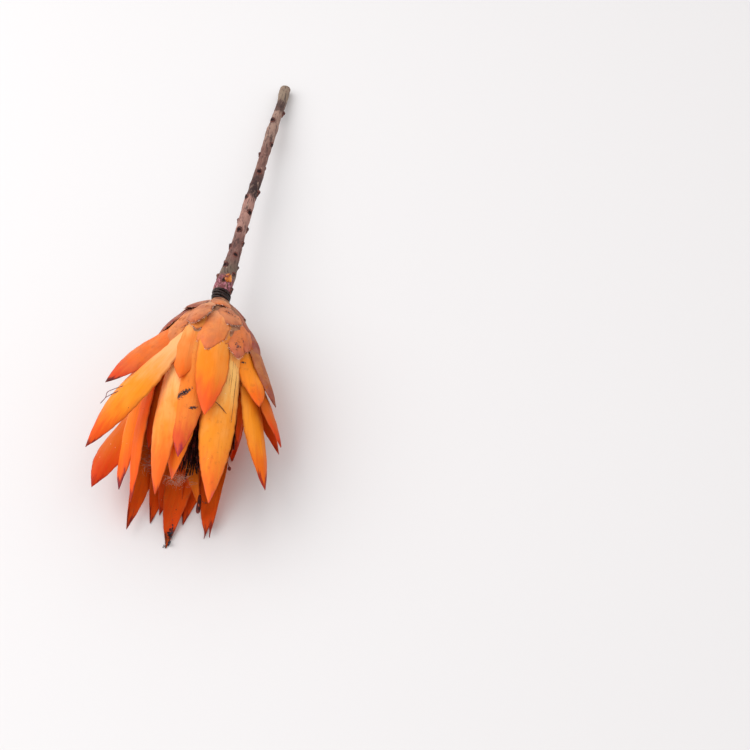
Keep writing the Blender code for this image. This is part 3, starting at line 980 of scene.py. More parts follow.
    def surface(self, node: Adder) -> tuple[NodeSocket, Node, Node]:
        """Add the nodes that give the look: worn colour, raised ribs and pits, and dull dust.

        Args:
            node: Adds a node to the material.

        Returns:
            The colour, the height and the roughness.
        """
        blade = node("ShaderNodeAttribute", attribute_name="blade").outputs["Vector"]
        parts = node("ShaderNodeSeparateXYZ", {0: blade})
        place = node("ShaderNodeAttribute", attribute_name="place").outputs["Vector"]
        colour, ribs, dust = self.weathered(node, self.ripened(node, parts, place), parts, place)
        pits = node("ShaderNodeTexNoise", {"Vector": place, "Scale": 1.6, "Detail": 4.0})
        height = node("ShaderNodeMath", {0: pits, 1: 0.5, 2: ribs}, operation="MULTIPLY_ADD")
        dull = node("ShaderNodeMapRange", {
            0: dust, 3: self.roughness, 4: self.roughness + self.dust_roughness,
        })
        return colour, height, dull


@dataclass(frozen=True)
class Bark(Finish):
    """Thin dry bark of a woody stem: matt, cracked along the grain, mauve-brown with pale ridges.

    Noise stretched along the stem gives cracks and ridges, and a finer one gives flakes; the ridges'
    pale colour is partly a painted highlight. Bands along the stem give its dark neck end, pink
    middle, a painted shadow across it, a dark knot and grey weathered cut end, and pink scurf clings
    to it close under the neck.
    """

    name: str = "dry_bark"
    face: str = "#74383E"
    # The near-black band at 0.4 to 0.44 of the length is a painted shadow across the stem; the dark
    # band at 0.85 to 0.88 is a knot.
    bands: tuple[tuple[float, float, float, str], ...] = (
        (0.03, 0.06, 1.0, "#6C5A4C"), (0.1, 0.15, 1.0, "#7C544C"), (0.2, 0.26, 1.0, "#A87C70"),
        (0.4, 0.44, 1.0, "#2E1614"), (0.48, 0.54, 1.0, "#7C564C"), (0.64, 0.74, 1.0, "#9C7C6E"),
        (0.85, 0.88, 0.9, "#402A24"), (0.9, 0.94, 1.0, "#8E7A68"),
    )
    scurf: str = "#C07888"
    scurf_to: float = 0.06
    crack: str = "#2E1A1C"
    # Pale colour of the raised ridges: partly weathered bark, partly a painted highlight.
    pale: str = "#BE9C8A"
    flake: str = "#6E4640"
    roughness: float = 0.8
    relief: float = 0.35
    bump: float = 0.8
    fineness: float = 0.65
    detail: float = 5.0
    grains: Table = ((0.9, 0.14), (1.6, 0.3), (2.4, 0.8), (12.0, 1.0), (0.9, 0.7))

    def surface(self, node: Adder) -> tuple[NodeSocket, Node, float]:
        """Add the nodes that give the look: banded colour, cracks, flakes and raised ridges.

        Args:
            node: Adds a node to the material.

        Returns:
            The colour, the height and the roughness.
        """
        spot = node("ShaderNodeTexCoord").outputs["Object"]
        along = node("ShaderNodeAttribute", attribute_name="along").outputs["Fac"]
        cracks, ridges, flakes, drift, crumbs = clouds(node, spot, [
            ((1 / width / MM, stretch / width / MM, 1 / width / MM), self.detail)
            for width, stretch in self.grains
        ], self.fineness)
        scurfy = node("ShaderNodeMapRange", {0: along, 1: self.scurf_to, 2: 0.4 * self.scurf_to})
        shifted = node("ShaderNodeMath", {0: drift, 1: 0.12, 2: along}, operation="MULTIPLY_ADD")
        shifted = node("ShaderNodeMath", {0: shifted, 1: -0.06})
        colour = laid(node, self.face, [
            *[(shifted, *band) for band in self.bands],
            (flakes, 0.5, 0.66, 0.6, self.flake),
            (cracks, 0.48, 0.64, 0.75, self.crack),
            # The raised ridges are painted pale, partly as a painted highlight.
            (ridges, 0.54, 0.68, 0.5, self.pale),
            (crumbs, 0.5, 0.6, scurfy, self.scurf),
        ])
        return colour, ridges, self.roughness


@dataclass(frozen=True)
class DryMatter(Finish):
    """Plain dry plant matter, such as hairs, florets, a scar's cork or cut wood.

    A fine noise makes it uneven, because no dry plant surface has one colour. Where it has a pit,
    a second colour, painted shade, fills the hollow that the mesh's own attribute marks.
    """

    name: str
    face: str
    shade: str
    roughness: float = 0.8
    grain: float = 1.0
    relief: float = 0.1
    shine: float = 0.25
    coat: float = 0.0
    # Colour of painted shade in a hollow, if it has one.
    pit: str = ""

    def surface(self, node: Adder) -> tuple[NodeSocket, Node, float]:
        """Add the nodes that give the look: two colours in a fine noise, which also raises it.

        Args:
            node: Adds a node to the material.

        Returns:
            The colour, the height and the roughness.
        """
        spot = node("ShaderNodeTexCoord").outputs["Object"]
        cloud = node("ShaderNodeTexNoise", {
            "Vector": spot, "Scale": 1 / (self.grain * MM), "Detail": 4.0,
        })
        layers = [(cloud, 0.35, 0.65, 1.0, self.shade)]
        # The hollow is painted darker, as shade.
        if self.pit:
            hollow = node("ShaderNodeAttribute", attribute_name="pit").outputs["Fac"]
            layers.append((hollow, 0.15, 0.5, 1.0, self.pit))
        return laid(node, self.face, layers), cloud, self.roughness


# Satin and bright, so that the wave of each blade catches the light.
BRACT_SKIN = BractSkin()
# Browner and rougher than the skin, so that a curled bract shows which side is its inside.
# Its wax patches, orange here, are a painted sheen as on the skin.
BRACT_LINING = replace(
    BRACT_SKIN, name="fibrous_bract_lining", browning=0.2, wax="#E89040", roughness=0.65,
)
# Almost black with a faint gleam on the rings, the darkest place on the flower.
NECK_BARK = DryMatter(
    "charred_neck_bark", "#38221E", "#060404", roughness=0.5, grain=0.7, relief=0.3, coat=0.12,
)
# Mauve-brown cork round a pit painted near black as shade, so that each scar reads as the seat of a
# leaf.
SCAR_CORK = DryMatter("leaf_scar_cork", "#7E4C42", "#3A2424", relief=0.2, pit="#1E0A0C")
# Dull red-brown that takes the light away inside the head.
FLORET_FELT = DryMatter("floret_felt", "#4C1C14", "#240C0A", grain=1.5)
# Smoother and redder than the felt, so that a withered style shows as a dark glint.
STYLE_SKIN = DryMatter("withered_style_skin", "#7A2A1E", "#2E0E0C", roughness=0.55, grain=3.0)
# Greyish purple, as a thread that has lost its colour.
THREAD = DryMatter("withered_thread", "#8A5A66", "#5A3444", roughness=0.6)
# Cream with peach in it, the pale edge of the old scales.
PALE_HAIR = DryMatter("pale_plant_hair", "#FFEADC", "#E0A888", roughness=0.6)
# Duller than the hair on the margins, because it has lain among the bracts.
SHED_HAIR = DryMatter("shed_floret_hair", "#E4B8A4", "#B4806A", roughness=0.7)
# Brown streaks on a golden face.
BROWN_HAIR = DryMatter("brown_plant_hair", "#A4683A", "#7C4420", roughness=0.7)
# Glossy amber that goes dark red where it is thick, the one wet-looking spot.
RESIN = DryMatter(
    "dried_resin", "#E88A1C", "#6E180A", roughness=0.25, grain=1.8, relief=0.15, coat=0.6,
)
# Grey-buff and matt, as wood that was cut long ago.
CUT_WOOD = DryMatter("weathered_cut_wood", "#A8967E", "#7C6A56", grain=0.7, relief=0.2)
# Sooty grains with a little blue in them.
MOULD = DryMatter("black_mould", "#50505E", "#140E10", grain=0.9, relief=0.2)
# Soft brown cork, seen only deep between the scales.
PITH = DryMatter("receptacle_cork", "#B07C5A", "#8A5640", grain=2.5, relief=0.3)


class Growth:
    """A Geometry Nodes tree with a named input for each of its sizes, run on an object.

    UNITS turns a size's millimetres or degrees into Blender's units.
    """

    UNITS: ClassVar[dict[str, float]] = {}

    def nodes(self, node: Adder, out: dict) -> Node:
        """Add the nodes that make the geometry out of the tree's inputs, and return the last one."""
        raise NotImplementedError

    def values(self) -> dict[str, int | float | Object]:
        """Give each size under its input's name.

        Returns:
            The sizes in Blender's units.
        """
        sizes = {item.name: getattr(self, item.name) for item in fields(self)}
        sizes |= {name: sizes[name] * scale for name, scale in self.UNITS.items()}
        return {name.replace("_", " ").capitalize(): value for name, value in sizes.items()}

    def grow(self, seeds: Object, finish: Material) -> Object:
        """Run the tree on an object and keep the result as a plain mesh.

        Args:
            seeds: The object that the tree starts from, whose name the piece takes.
            finish: The piece's material.

        Returns:
            The piece.
        """
        name = seeds.name
        tree = bpy.data.node_groups.new(f"{name}_growth", "GeometryNodeTree")
        for way in ("OUTPUT", "INPUT"):
            tree.interface.new_socket(name="Geometry", in_out=way, socket_type="NodeSocketGeometry")
        inputs = {}
        for label, value in (self.values() | {"Finish": finish}).items():
            kind = next(kind for kind in (Material, Object, int, float) if isinstance(value, kind))
            socket = tree.interface.new_socket(
                name=label, in_out="INPUT", socket_type=f"NodeSocket{kind.__name__.capitalize()}",
            )
            inputs[socket.identifier] = value
        node = partial(add_node, tree)
        out = node("NodeGroupInput").outputs
        real = node("GeometryNodeRealizeInstances", {"Geometry": self.nodes(node, out)})
        smooth = node("GeometryNodeSetShadeSmooth", {"Geometry": real})
        dressed = node("GeometryNodeSetMaterial", {"Geometry": smooth, "Material": out["Finish"]})
        node("NodeGroupOutput", {"Geometry": dressed})
        modifier = seeds.modifiers.new("growth", "NODES")
        modifier.node_group = tree
        for identifier, value in inputs.items():
            modifier[identifier] = value
        bpy.context.view_layer.update()
        graph = bpy.context.evaluated_depsgraph_get()
        mesh = bpy.data.meshes.new_from_object(seeds.evaluated_get(graph))
        bpy.data.objects.remove(seeds)
        mesh.name = name
        return link_mesh(name, mesh)


def curve_through(node: Adder, lines: NodeSocket, count: int | NodeSocket) -> Node:
    """Turn lines of points into smooth curves.

    Args:
        node: Adds a node to the tree.
        lines: The lines of points.
        count: How many points each curve gets.

    Returns:
        The node that gives the curves.
    """
    line = node("GeometryNodeMeshToCurve", {"Mesh": lines})
    smooth = node("GeometryNodeCurveSplineType", {"Curve": line}, spline_type="CATMULL_ROM")
    return node("GeometryNodeResampleCurve", {"Curve": smooth, "Count": count})


def roughened(node: Adder, solid: Node, layers: list[tuple]) -> Node:
    """Push a surface in and out by a few noises.

    Args:
        node: Adds a node to the tree.
        solid: The node that gives the surface.
        layers: For each noise, its lumps in a millimetre, how many of them there are along the axis
            for each one across, its detail, and the socket of its height.

    Returns:
        The node that gives the rough surface.
    """
    height = 0.0
    for per_mm, stretch, detail, amount in layers:
        spot = node("ShaderNodeVectorMath", {
            0: node("GeometryNodeInputPosition"), 1: (1.0, stretch, 1.0),
        }, operation="MULTIPLY")
        noise = node("ShaderNodeTexNoise", {"Vector": spot, "Scale": per_mm / MM, "Detail": detail})
        centred = node("ShaderNodeMath", {0: noise, 1: 0.5}, operation="SUBTRACT")
        height = node("ShaderNodeMath", {0: centred, 1: amount, 2: height}, operation="MULTIPLY_ADD")
    normal = node("GeometryNodeInputNormal")
    push = node("ShaderNodeVectorMath", {0: normal, 3: height}, operation="SCALE")
    return node("GeometryNodeSetPosition", {"Geometry": solid, "Offset": push})


@dataclass(frozen=True)
class Bristles(Growth):
    """Hairs or florets that grow from given points, each bent, leaning and turned its own way.

    Args:
        length: Length of each.
        girth: Radius at the root.
        tip_share: Radius at the tip, as a share of that.
        bow: How far each bends, as a share of its length.
        spread: Most that each leans.
        variation: How much shorter some are.
        sides: Faces round each.
        steps: Faces along each.
        seed: Seed of the draws.
    """

    UNITS: ClassVar[dict[str, float]] = {"length": MM, "girth": MM, "spread": DEGREE}

    length: float
    girth: float
    tip_share: float = 0.2
    bow: float = 0.15
    spread: float = 15.0
    variation: float = 0.4
    sides: int = 3
    steps: int = 4
    seed: int = 1

    def nodes(self, node: Adder, out: dict) -> Node:
        """Add the nodes: one bent bristle, set on every point along its lie.

        Args:
            node: Adds a node to the tree.
            out: The tree's inputs by name.

        Returns:
            The node that gives the bristles.
        """
        bend = node("ShaderNodeMath", {0: out["Length"], 1: out["Bow"]}, operation="MULTIPLY")
        halfway = node("ShaderNodeMath", {0: out["Length"], 1: 0.5}, operation="MULTIPLY")
        line = node("GeometryNodeCurveQuadraticBezier", {
            "Resolution": out["Steps"], "Start": (0, 0, 0),
            "Middle": node("ShaderNodeCombineXYZ", {0: bend, 2: halfway}),
            "End": node("ShaderNodeCombineXYZ", {2: out["Length"]}),
        })
        where = node("GeometryNodeSplineParameter")
        taper = node("ShaderNodeMapRange", {0: where, 3: 1.0, 4: out["Tip share"]})
        ring = node("GeometryNodeCurvePrimitiveCircle", {
            "Resolution": out["Sides"], "Radius": out["Girth"],
        })
        body = node("GeometryNodeCurveToMesh", {
            "Curve": line, "Profile Curve": ring, "Scale": taper, "Fill Caps": True,
        })
        lie = node("GeometryNodeInputNamedAttribute", {"Name": "lie"}, data_type="FLOAT_VECTOR")
        aim = node("FunctionNodeAlignRotationToVector", {"Vector": lie}, axis="Z")
        lean = out["Spread"]
        least = node("ShaderNodeMath", {0: lean, 1: -1.0}, operation="MULTIPLY")
        turn = node("FunctionNodeRandomValue", {
            "Min": node("ShaderNodeCombineXYZ", {0: least, 1: least, 2: -math.pi}),
            "Max": node("ShaderNodeCombineXYZ", {0: lean, 1: lean, 2: math.pi}),
            "Seed": out["Seed"],
        }, data_type="FLOAT_VECTOR")
        turned = node("FunctionNodeRotateRotation", {
            "Rotation": aim, "Rotate By": turn,
        }, rotation_space="LOCAL")
        shortest = node("ShaderNodeMath", {0: 1.0, 1: out["Variation"]}, operation="SUBTRACT")
        again = node("ShaderNodeMath", {0: out["Seed"], 1: 1.0})
        drawn = node("FunctionNodeRandomValue", {
            2: shortest, 3: 1.0, "Seed": again,
        }, data_type="FLOAT").outputs[1]
        size = node("GeometryNodeInputNamedAttribute", {"Name": "size"}, data_type="FLOAT")
        scale = node("ShaderNodeMath", {0: drawn, 1: size}, operation="MULTIPLY")
        return node("GeometryNodeInstanceOnPoints", {
            "Points": out["Geometry"], "Instance": body, "Rotation": turned, "Scale": scale,
        })

    def on(
        self, name: str, points: np.ndarray, lies: np.ndarray, sizes: np.ndarray, finish: Material
    ) -> Object:
        """Grow the bristles on points, each along its lie and to its share of the full length."""
        return self.grow(point_object(name, points, lie=lies, size=sizes), finish)


@dataclass(frozen=True)
class Tube(Growth):
    """A tube along each of some routes, with lumps and grain along its surface.

    Args:
        rings: Faces along each.
        sides: Faces round each.
        lumps: Height of its lumps.
        grain: Height of the ridges of its grain.
    """

    UNITS: ClassVar[dict[str, float]] = {"lumps": MM, "grain": MM}

    rings: int = 20
    sides: int = 6
    lumps: float = 0.0
    grain: float = 0.0

    def nodes(self, node: Adder, out: dict) -> Node:
        """Add the nodes: a ring swept along each route, which knows how far along it is.

        Args:
            node: Adds a node to the tree.
            out: The tree's inputs by name.

        Returns:
            The node that gives the tubes.
        """
        marked = node("GeometryNodeStoreNamedAttribute", {
            "Geometry": curve_through(node, out["Geometry"], out["Rings"]), "Name": "along",
            "Value": node("GeometryNodeSplineParameter"),
        }, data_type="FLOAT", domain="POINT")
        girth = node("GeometryNodeInputNamedAttribute", {"Name": "girth"}, data_type="FLOAT")
        ring = node("GeometryNodeCurvePrimitiveCircle", {"Resolution": out["Sides"], "Radius": MM})
        tube = node("GeometryNodeCurveToMesh", {
            "Curve": marked, "Profile Curve": ring, "Scale": girth, "Fill Caps": True,
        })
        return roughened(node, tube, [
            (1 / 4.5, 0.6, 2.0, out["Lumps"]), (1 / 1.3, 0.18, 3.0, out["Grain"]),
        ])

    def along(self, name: str, routes: list[np.ndarray], finish: Material) -> Object:
        """Make the tubes along routes, whose rows are x, y, z and radius in millimetres."""
        return self.grow(route_object(name, routes), finish)


@dataclass(frozen=True)
class Blemish:
    """A patch of mould grains on one bract's face.

    Args:
        row: The name of the bract's row.
        index: The bract's number in its row.
        across: Millimetres from the midline.
        along: Millimetres from the root.
        spread: How far the grains scatter along the patch's two axes.
        lean: The patch's turn on the face.
        count: How many grains.
        size: Their size, as a share of the usual one.
        inner: Whether they sit on the inner face.
    """

    row: str
    index: int
    across: float
    along: float
    spread: tuple[float, float]
    lean: float
    count: int
    size: float = 1.0
    inner: bool = False


@dataclass(frozen=True)
class Fibre:
    """A thin fibre that lies on a bract's outer face.

    Args:
        row: The name of the bract's row.
        index: The bract's number in its row.
        start: Millimetres across and along of one end.
        end: The same of the other end.
        lift: Its height over the face at its start.
        radius: Its radius in the middle.
        rest: Its height over the face at its end.
    """

    row: str
    index: int
    start: tuple[float, float]
    end: tuple[float, float]
    lift: float = 0.35
    radius: float = 0.08
    rest: float = 0.35

    def route(self, surfaces: dict[str, list[BladeSurface]]) -> np.ndarray:
        """Give its route over the face.

        Args:
            surfaces: The bracts' surfaces by row.

        Returns:
            Rows of x, y, z and radius.
        """
        share = np.linspace(0, 1, 4)[:, None]
        where = np.array(self.start) * (1 - share) + np.array(self.end) * share
        spots, out = surfaces[self.row][self.index].spots(where)
        height = self.rest + (self.lift - self.rest) * (1 - share)
        radius = self.radius * (0.5 + 0.5 * np.sin(math.pi * share))
        return np.hstack([spots + height * out, radius])


@dataclass
class FlowerHead:
    """Receptacle, rows of bracts, the hairs on the old scales' margins, mould and stray fibres."""

    slot: ClassVar[str] = "bract"
    node: ClassVar[str] = "flower_head"

    form: HeadForm
    core_under: float = 1.9
    core_straight_to: float = 30.0
    core_end: float = 44.0
    core_end_radius: float = 9.5
    core_sides: int = 64
    core_crowding: float = 1.6
    fringe_step: float = 0.33
    fringe_from: float = 0.35
    fringe_seed: int = 31
    fringe_rows: tuple[str, ...] = ("neck_scales", "base_scales", "tucked_scales", "ovate_bracts")
    hair: Bristles = Bristles(length=1.2, girth=0.09, bow=0.2, spread=25.0, steps=3, seed=5)
    mould_seed: int = 17
    mould_height: float = 0.3
    grain: Bristles = Bristles(
        length=0.8, girth=0.24, tip_share=0.5, bow=0.3, spread=70.0, variation=0.5, sides=5, steps=3,
        seed=6,
    )
    blemishes: tuple[Blemish, ...] = (
        Blemish("long_bracts", 1, -1.6, 45.2, (1.6, 0.6), -38, 230, 1.0),
        Blemish("long_bracts", 1, -3.0, 46.8, (1.1, 0.8), -38, 110, 0.7),
        Blemish("long_bracts", 1, 2.9, 52.6, (0.65, 0.22), -24, 60, 1.0),
        Blemish("lance_bracts", 3, -4.2, 24.2, (0.35, 0.28), 0, 26),
        Blemish("ovate_bracts", 2, -0.4, 24.0, (0.9, 0.7), 40, 26, 0.8),
        Blemish("ovate_bracts", 2, 2.2, 19.5, (0.6, 0.5), 10, 14, 0.7),
        Blemish("base_scales", 2, 0.5, 12.0, (1.6, 0.4), 15, 24, 0.7),
        Blemish("base_scales", 1, 1.5, 6.0, (0.5, 0.5), 0, 14, 0.7),
        Blemish("opening_bracts", 8, -0.8, 86.0, (0.7, 0.9), 0, 90, 1.5, True),
        Blemish("opening_bracts", 8, -2.1, 90.4, (0.25, 0.25), 0, 40, 1.5, True),
        Blemish("opening_bracts", 8, 1.0, 91.5, (0.5, 0.5), 0, 30, 1.1, True),
        Blemish("opening_bracts", 4, 3.5, 69.8, (0.5, 0.3), 0, 12, 0.7, True),
    )
    thread_routes: tuple[Table, ...] = (
        (
            (-29.6, -30.4, 41.9), (-31.1, -31.0, 41.6), (-35.7, -33.1, 40.6), (-36.3, -35.6, 40.0),
            (-38.0, -38.4, 39.6),
        ),
        ((-30.2, -32.8, 42.0), (-31.6, -33.3, 41.6), (-33.8, -34.3, 40.9), (-36.3, -35.6, 40.0)),
    )
    thread_radius: float = 0.17
    fibres: tuple[Fibre, ...] = (
        Fibre("opening_bracts", 2, (-3.2, 43.0), (2.6, 47.0), 1.6, 0.24),
        Fibre("opening_bracts", 2, (0.2, 16.0), (-0.6, 38.0)),
        Fibre("opening_bracts", 2, (1.1, 14.0), (0.5, 42.0)),
        Fibre("opening_bracts", 2, (2.0, 15.0), (1.9, 33.0)),
        Fibre("opening_bracts", 2, (2.7, 14.0), (3.0, 44.0)),
        Fibre("opening_bracts", 2, (3.6, 16.0), (4.2, 36.0)),
        Fibre("opening_bracts", 2, (4.6, 16.0), (5.2, 50.0), 0.4, 0.15),
        Fibre("opening_bracts", 2, (-1.5, 26.0), (-1.2, 36.0)),
    )

    def receptacle(self) -> Object:
        """Turn the woody core that the bracts grow from, as a profile spun about the axis.

        Returns:
            The piece.
        """
        along = self.core_straight_to * np.linspace(0, 1, 24) ** self.core_crowding
        radius = np.maximum(self.form.neck_radius, self.form.radius_at(along) - self.core_under)
        end = self.core_end
        profile = [(0.0, 0.0), *zip(radius, along), (self.core_end_radius, end), (0.0, end)]
        middle = Vector((0, self.form.neck_to_rest, self.form.axis_height)) * MM
        core = bmesh.new()
        points = [core.verts.new(middle + Vector((r, -a, 0)) * MM) for r, a in profile]
        edges = [core.edges.new(pair) for pair in zip(points, points[1:])]
        bmesh.ops.spin(
            core, geom=[*points, *edges], cent=middle, axis=(0, 1, 0), angle=math.tau,
            steps=self.core_sides,
        )
        bmesh.ops.remove_doubles(core, verts=core.verts, dist=MERGE_GAP * MM)
        bmesh.ops.recalc_face_normals(core, faces=core.faces)
        return solid_piece("receptacle", core, PITH.material(), rims=True)

    def fringe(self, surfaces: list[BladeSurface]) -> Object:
        """Grow the short hairs on the margins of the old scales.

        Args:
            surfaces: The scales' surfaces.

        Returns:
            The piece.
        """
        draw = random.Random(self.fringe_seed)
        hairs = []
        for one, sign in product(surfaces, (-1, 1)):
            rim = np.flatnonzero((one.blade[:, 0] == sign) & (one.blade[:, 1] > self.fringe_from))
            line, out = one.points[rim], unit(one.points[rim] - one.points[rim - sign])
            for index, gap in enumerate(np.diff(line, axis=0)):
                for _ in range(max(1, round(float(np.linalg.norm(gap)) / self.fringe_step))):
                    root = line[index] + gap * draw.random()
                    lie = out[index] + unit(gap) * draw.uniform(0.1, 0.9)
                    lie = lie + one.outward[rim[index]] * 0.2
                    hairs.append((*root, *lie, draw.uniform(0.5, 1.0)))
        table = np.array(hairs)
        return self.hair.on(
            "margin_hairs", table[:, :3], table[:, 3:6], table[:, 6], PALE_HAIR.material()
        )

    def mould(self, surfaces: dict[str, list[BladeSurface]]) -> Object:
        """Scatter the grains of the patches of mould.

        Args:
            surfaces: The bracts' surfaces by row.

        Returns:
            The piece.
        """
        draw = np.random.default_rng(self.mould_seed)
        points, lies, sizes = [], [], []
        for patch in self.blemishes:
            cos, sin = math.cos(patch.lean * DEGREE), math.sin(patch.lean * DEGREE)
            turned = np.array([[cos, sin], [-sin, cos]])
            where = (draw.normal(0, 1, (patch.count, 2)) * patch.spread) @ turned
            spot, out = surfaces[patch.row][patch.index].spots(where + (patch.across, patch.along))
            out = -out if patch.inner else out
            points.append(spot + self.mould_height * out)
            lies.append(out)
            sizes.append(patch.size * draw.uniform(0.5, 1.0, patch.count))
        columns = [np.concatenate(parts) for parts in (points, lies, sizes)]
        return self.grain.on("mould_grains", *columns, MOULD.material())

    def pieces(self) -> list[Object]:
        """Build the head's pieces.

        Returns:
            The pieces.
        """
        skin, lining = BRACT_SKIN.material(), BRACT_LINING.material()
        pieces, surfaces = [self.receptacle()], {}
        builder = BractBuilder(self.form)
        for row in (*ROWS, TUCKED_SCALES):
            piece, surfaces[row.name] = builder.row_piece(row, skin, lining)
            pieces.append(piece)
        old_scales = [one for name in self.fringe_rows for one in surfaces[name]]
        threads = [
            np.array([(*point, self.thread_radius) for point in route]) for route in self.thread_routes
        ]
        fibres = [fibre.route(surfaces) for fibre in self.fibres]
        return [
            *pieces, self.fringe(old_scales), self.mould(surfaces),
            Tube(rings=24, sides=6).along("stray_threads", threads, THREAD.material()),
            Tube(rings=40, sides=5).along("face_fibres", fibres, BROWN_HAIR.material()),
        ]


@dataclass(frozen=True)
class Tuft:
    """A tangle of pale hairs that has been shed among the bracts.

    Args:
        centre: Its middle.
        spread: How far the hairs' roots scatter each way.
        count: How many hairs.
    """

    centre: tuple[float, float, float]
    spread: tuple[float, float, float]
    count: int


@dataclass
class FloretBunch:
    """Dense dark florets on the receptacle inside the bracts, long withered styles and shed hairs."""

    slot: ClassVar[str] = "floret"
    node: ClassVar[str] = "florets"

    form: HeadForm
    seat: float = 44.3
    core_length: float = 22.0
    core_margin: float = 1.5
    core_sink: float = 0.8
    base_radius: float = 9.0
    core_tip_radius: float = 5.0
    count: int = 420
    reach: tuple[float, float] = (76.0, 88.0)
    stray: float = 12.0
    spread: float = 11.0
    floret_seed: int = 5
    style_count: int = 46
    style_seed: int = 12
    style_bearing: float = 60.0
    style_sway: float = 7.0
    style_tips: tuple[float, float] = (84.0, 93.0)
    style_roots: tuple[float, float] = (6.0, 9.0)
    style_rise: tuple[float, float] = (2.0, 7.0)
    style_ripple: float = 0.3
    style_radius: tuple[float, float] = (0.3, 0.55)
    style_taper: float = 0.45
    shed_hair: Bristles = Bristles(length=5.0, girth=0.09, bow=0.4, spread=25.0, steps=6, seed=8)
    shed_lie: tuple[float, float, float] = (1.0, 0.6, 0.3)
    tufts: tuple[Tuft, ...] = (
        Tuft((-4.4, -60.0, 19.0), (3.0, 1.5, 1.3), 110),
        Tuft((-19.6, -47.5, 12.0), (1.4, 3.4, 1.2), 90),
    )
    strays: tuple[Table, ...] = (
        ((15.0, -32.0, 15.2, 0.3), (15.4, -36.7, 15.0, 0.42), (15.9, -40.8, 14.6, 0.5)),
        (
            (13.0, -43.6, 10.6, 0.12), (13.9, -45.4, 8.8, 0.14), (14.2, -46.2, 8.0, 0.8),
            (14.4, -46.9, 7.4, 0.45),
        ),
        (
            (3.4, -59.5, 6.6, 0.5), (3.5, -61.5, 6.2, 0.85), (3.5, -66.0, 5.0, 0.95),
            (3.4, -67.2, 4.8, 0.5),
        ),
    )

    def florets(self) -> Object:
        """Grow the florets from their cone, in a spiral.

        Returns:
            The piece.
        """
        draw = np.random.default_rng(self.floret_seed)
        index = np.arange(self.count)
        share = (index + 0.5) / self.count
        around = index * GOLDEN_TURN
        up_core = self.core_margin + (self.core_length - 3 * self.core_margin) * (1 - share)
        radius = self.core_tip_radius + (self.base_radius - self.core_tip_radius) * share
        root = self.form.point(self.seat + up_core, around, self.core_sink * radius)
        way = self.form.point(
            draw.uniform(*self.reach, self.count),
            around + draw.uniform(-self.stray, self.stray, self.count), self.spread * np.sqrt(share),
        ) - root
        length = np.linalg.norm(way, axis=1)
        floret = Bristles(
            length=float(length.max()), girth=0.5, tip_share=0.5, bow=0.04, spread=2.0,
            variation=0.05, sides=5, steps=8, seed=3,
        )
        return floret.on("floret_bunch", root, way, length / length.max(), FLORET_FELT.material())

    def styles(self, draw: np.random.Generator) -> Object:
        """Lay the long withered styles that show in the gaps between the bracts, and a few shed ones.

        Args:
            draw: The draws.

        Returns:
            The piece.
        """
        routes = [np.array(route) for route in self.strays]
        share = np.linspace(0, 1, 6)
        for _ in range(self.style_count):
            around = draw.uniform(-self.style_bearing, self.style_bearing)
            around = around + draw.uniform(-self.style_sway, self.style_sway) * share
            along = self.seat + (draw.uniform(*self.style_tips) - self.seat) * share
            out = draw.uniform(*self.style_roots) + draw.uniform(*self.style_rise) * share
            out = out + self.style_ripple * np.sin(9 * share + draw.uniform(0, 6))
            radius = draw.uniform(*self.style_radius) * (1 - self.style_taper * share)
            routes.append(np.column_stack([self.form.point(along, around, out), radius]))
        return Tube(rings=16, sides=6).along("withered_styles", routes, STYLE_SKIN.material())

    def pieces(self) -> list[Object]:
        """Build the florets and their hairs.

        Returns:
            The pieces.
        """
        florets = self.florets()
        draw = np.random.default_rng(self.style_seed)
        styles = self.styles(draw)
        roots = np.concatenate([
            np.array(tuft.centre) + draw.normal(0, 1, (tuft.count, 3)) * tuft.spread
            for tuft in self.tufts
        ])
        lies = draw.normal(0, 1, roots.shape) * self.shed_lie
        sizes = draw.uniform(0.5, 1.0, len(roots))
        hairs = self.shed_hair.on("shed_hairs", roots, lies, sizes, SHED_HAIR.material())
        return [florets, styles, hairs]


@dataclass(frozen=True)
class NeckRings(Growth):
    """A ring on each point of the neck, each a little tilted and worn.

    Args:
        radius: Radius of a ring.
        ring_height: Radius of its bead.
        wear: How deep it is worn.
        tilt: Its slant.
        sides: Faces round a ring.
        bead_sides: Faces round its bead.
        seed: Seed of the draws.
    """

    UNITS: ClassVar[dict[str, float]] = {"radius": MM, "ring_height": MM, "wear": MM, "tilt": DEGREE}

    radius: float = 3.95
    ring_height: float = 0.46
    wear: float = 0.8
    tilt: float = -15.0
    sides: int = 72
    bead_sides: int = 10
    seed: int = 4

    def nodes(self, node: Adder, out: dict) -> Node:
        """Add the nodes: a beaded ring set on every point, with a rough surface.

        Args:
            node: Adds a node to the tree.
            out: The tree's inputs by name.

        Returns:
            The node that gives the rings.
        """
        circle, bead = (
            node("GeometryNodeCurvePrimitiveCircle", {"Resolution": sides, "Radius": radius})
            for sides, radius in (
                (out["Sides"], out["Radius"]), (out["Bead sides"], out["Ring height"]),
            )
        )
        ring = node("GeometryNodeCurveToMesh", {"Curve": circle, "Profile Curve": bead})
        sway = node("FunctionNodeRandomValue", {
            "Min": (math.pi / 2 - 0.06, 0, -0.08), "Max": (math.pi / 2 + 0.06, 0, 0.08),
            "Seed": out["Seed"],
        }, data_type="FLOAT_VECTOR")
        slant = node("ShaderNodeCombineXYZ", {2: out["Tilt"]})
        placed = node("GeometryNodeInstanceOnPoints", {
            "Points": out["Geometry"], "Instance": ring,
            "Rotation": node("ShaderNodeVectorMath", {0: sway, 1: slant}),
            "Scale": node("GeometryNodeInputNamedAttribute", {"Name": "size"}, data_type="FLOAT"),
        })
        real = node("GeometryNodeRealizeInstances", {"Geometry": placed})
        return roughened(node, real, [(0.9, 1.0, 3.0, out["Wear"])])


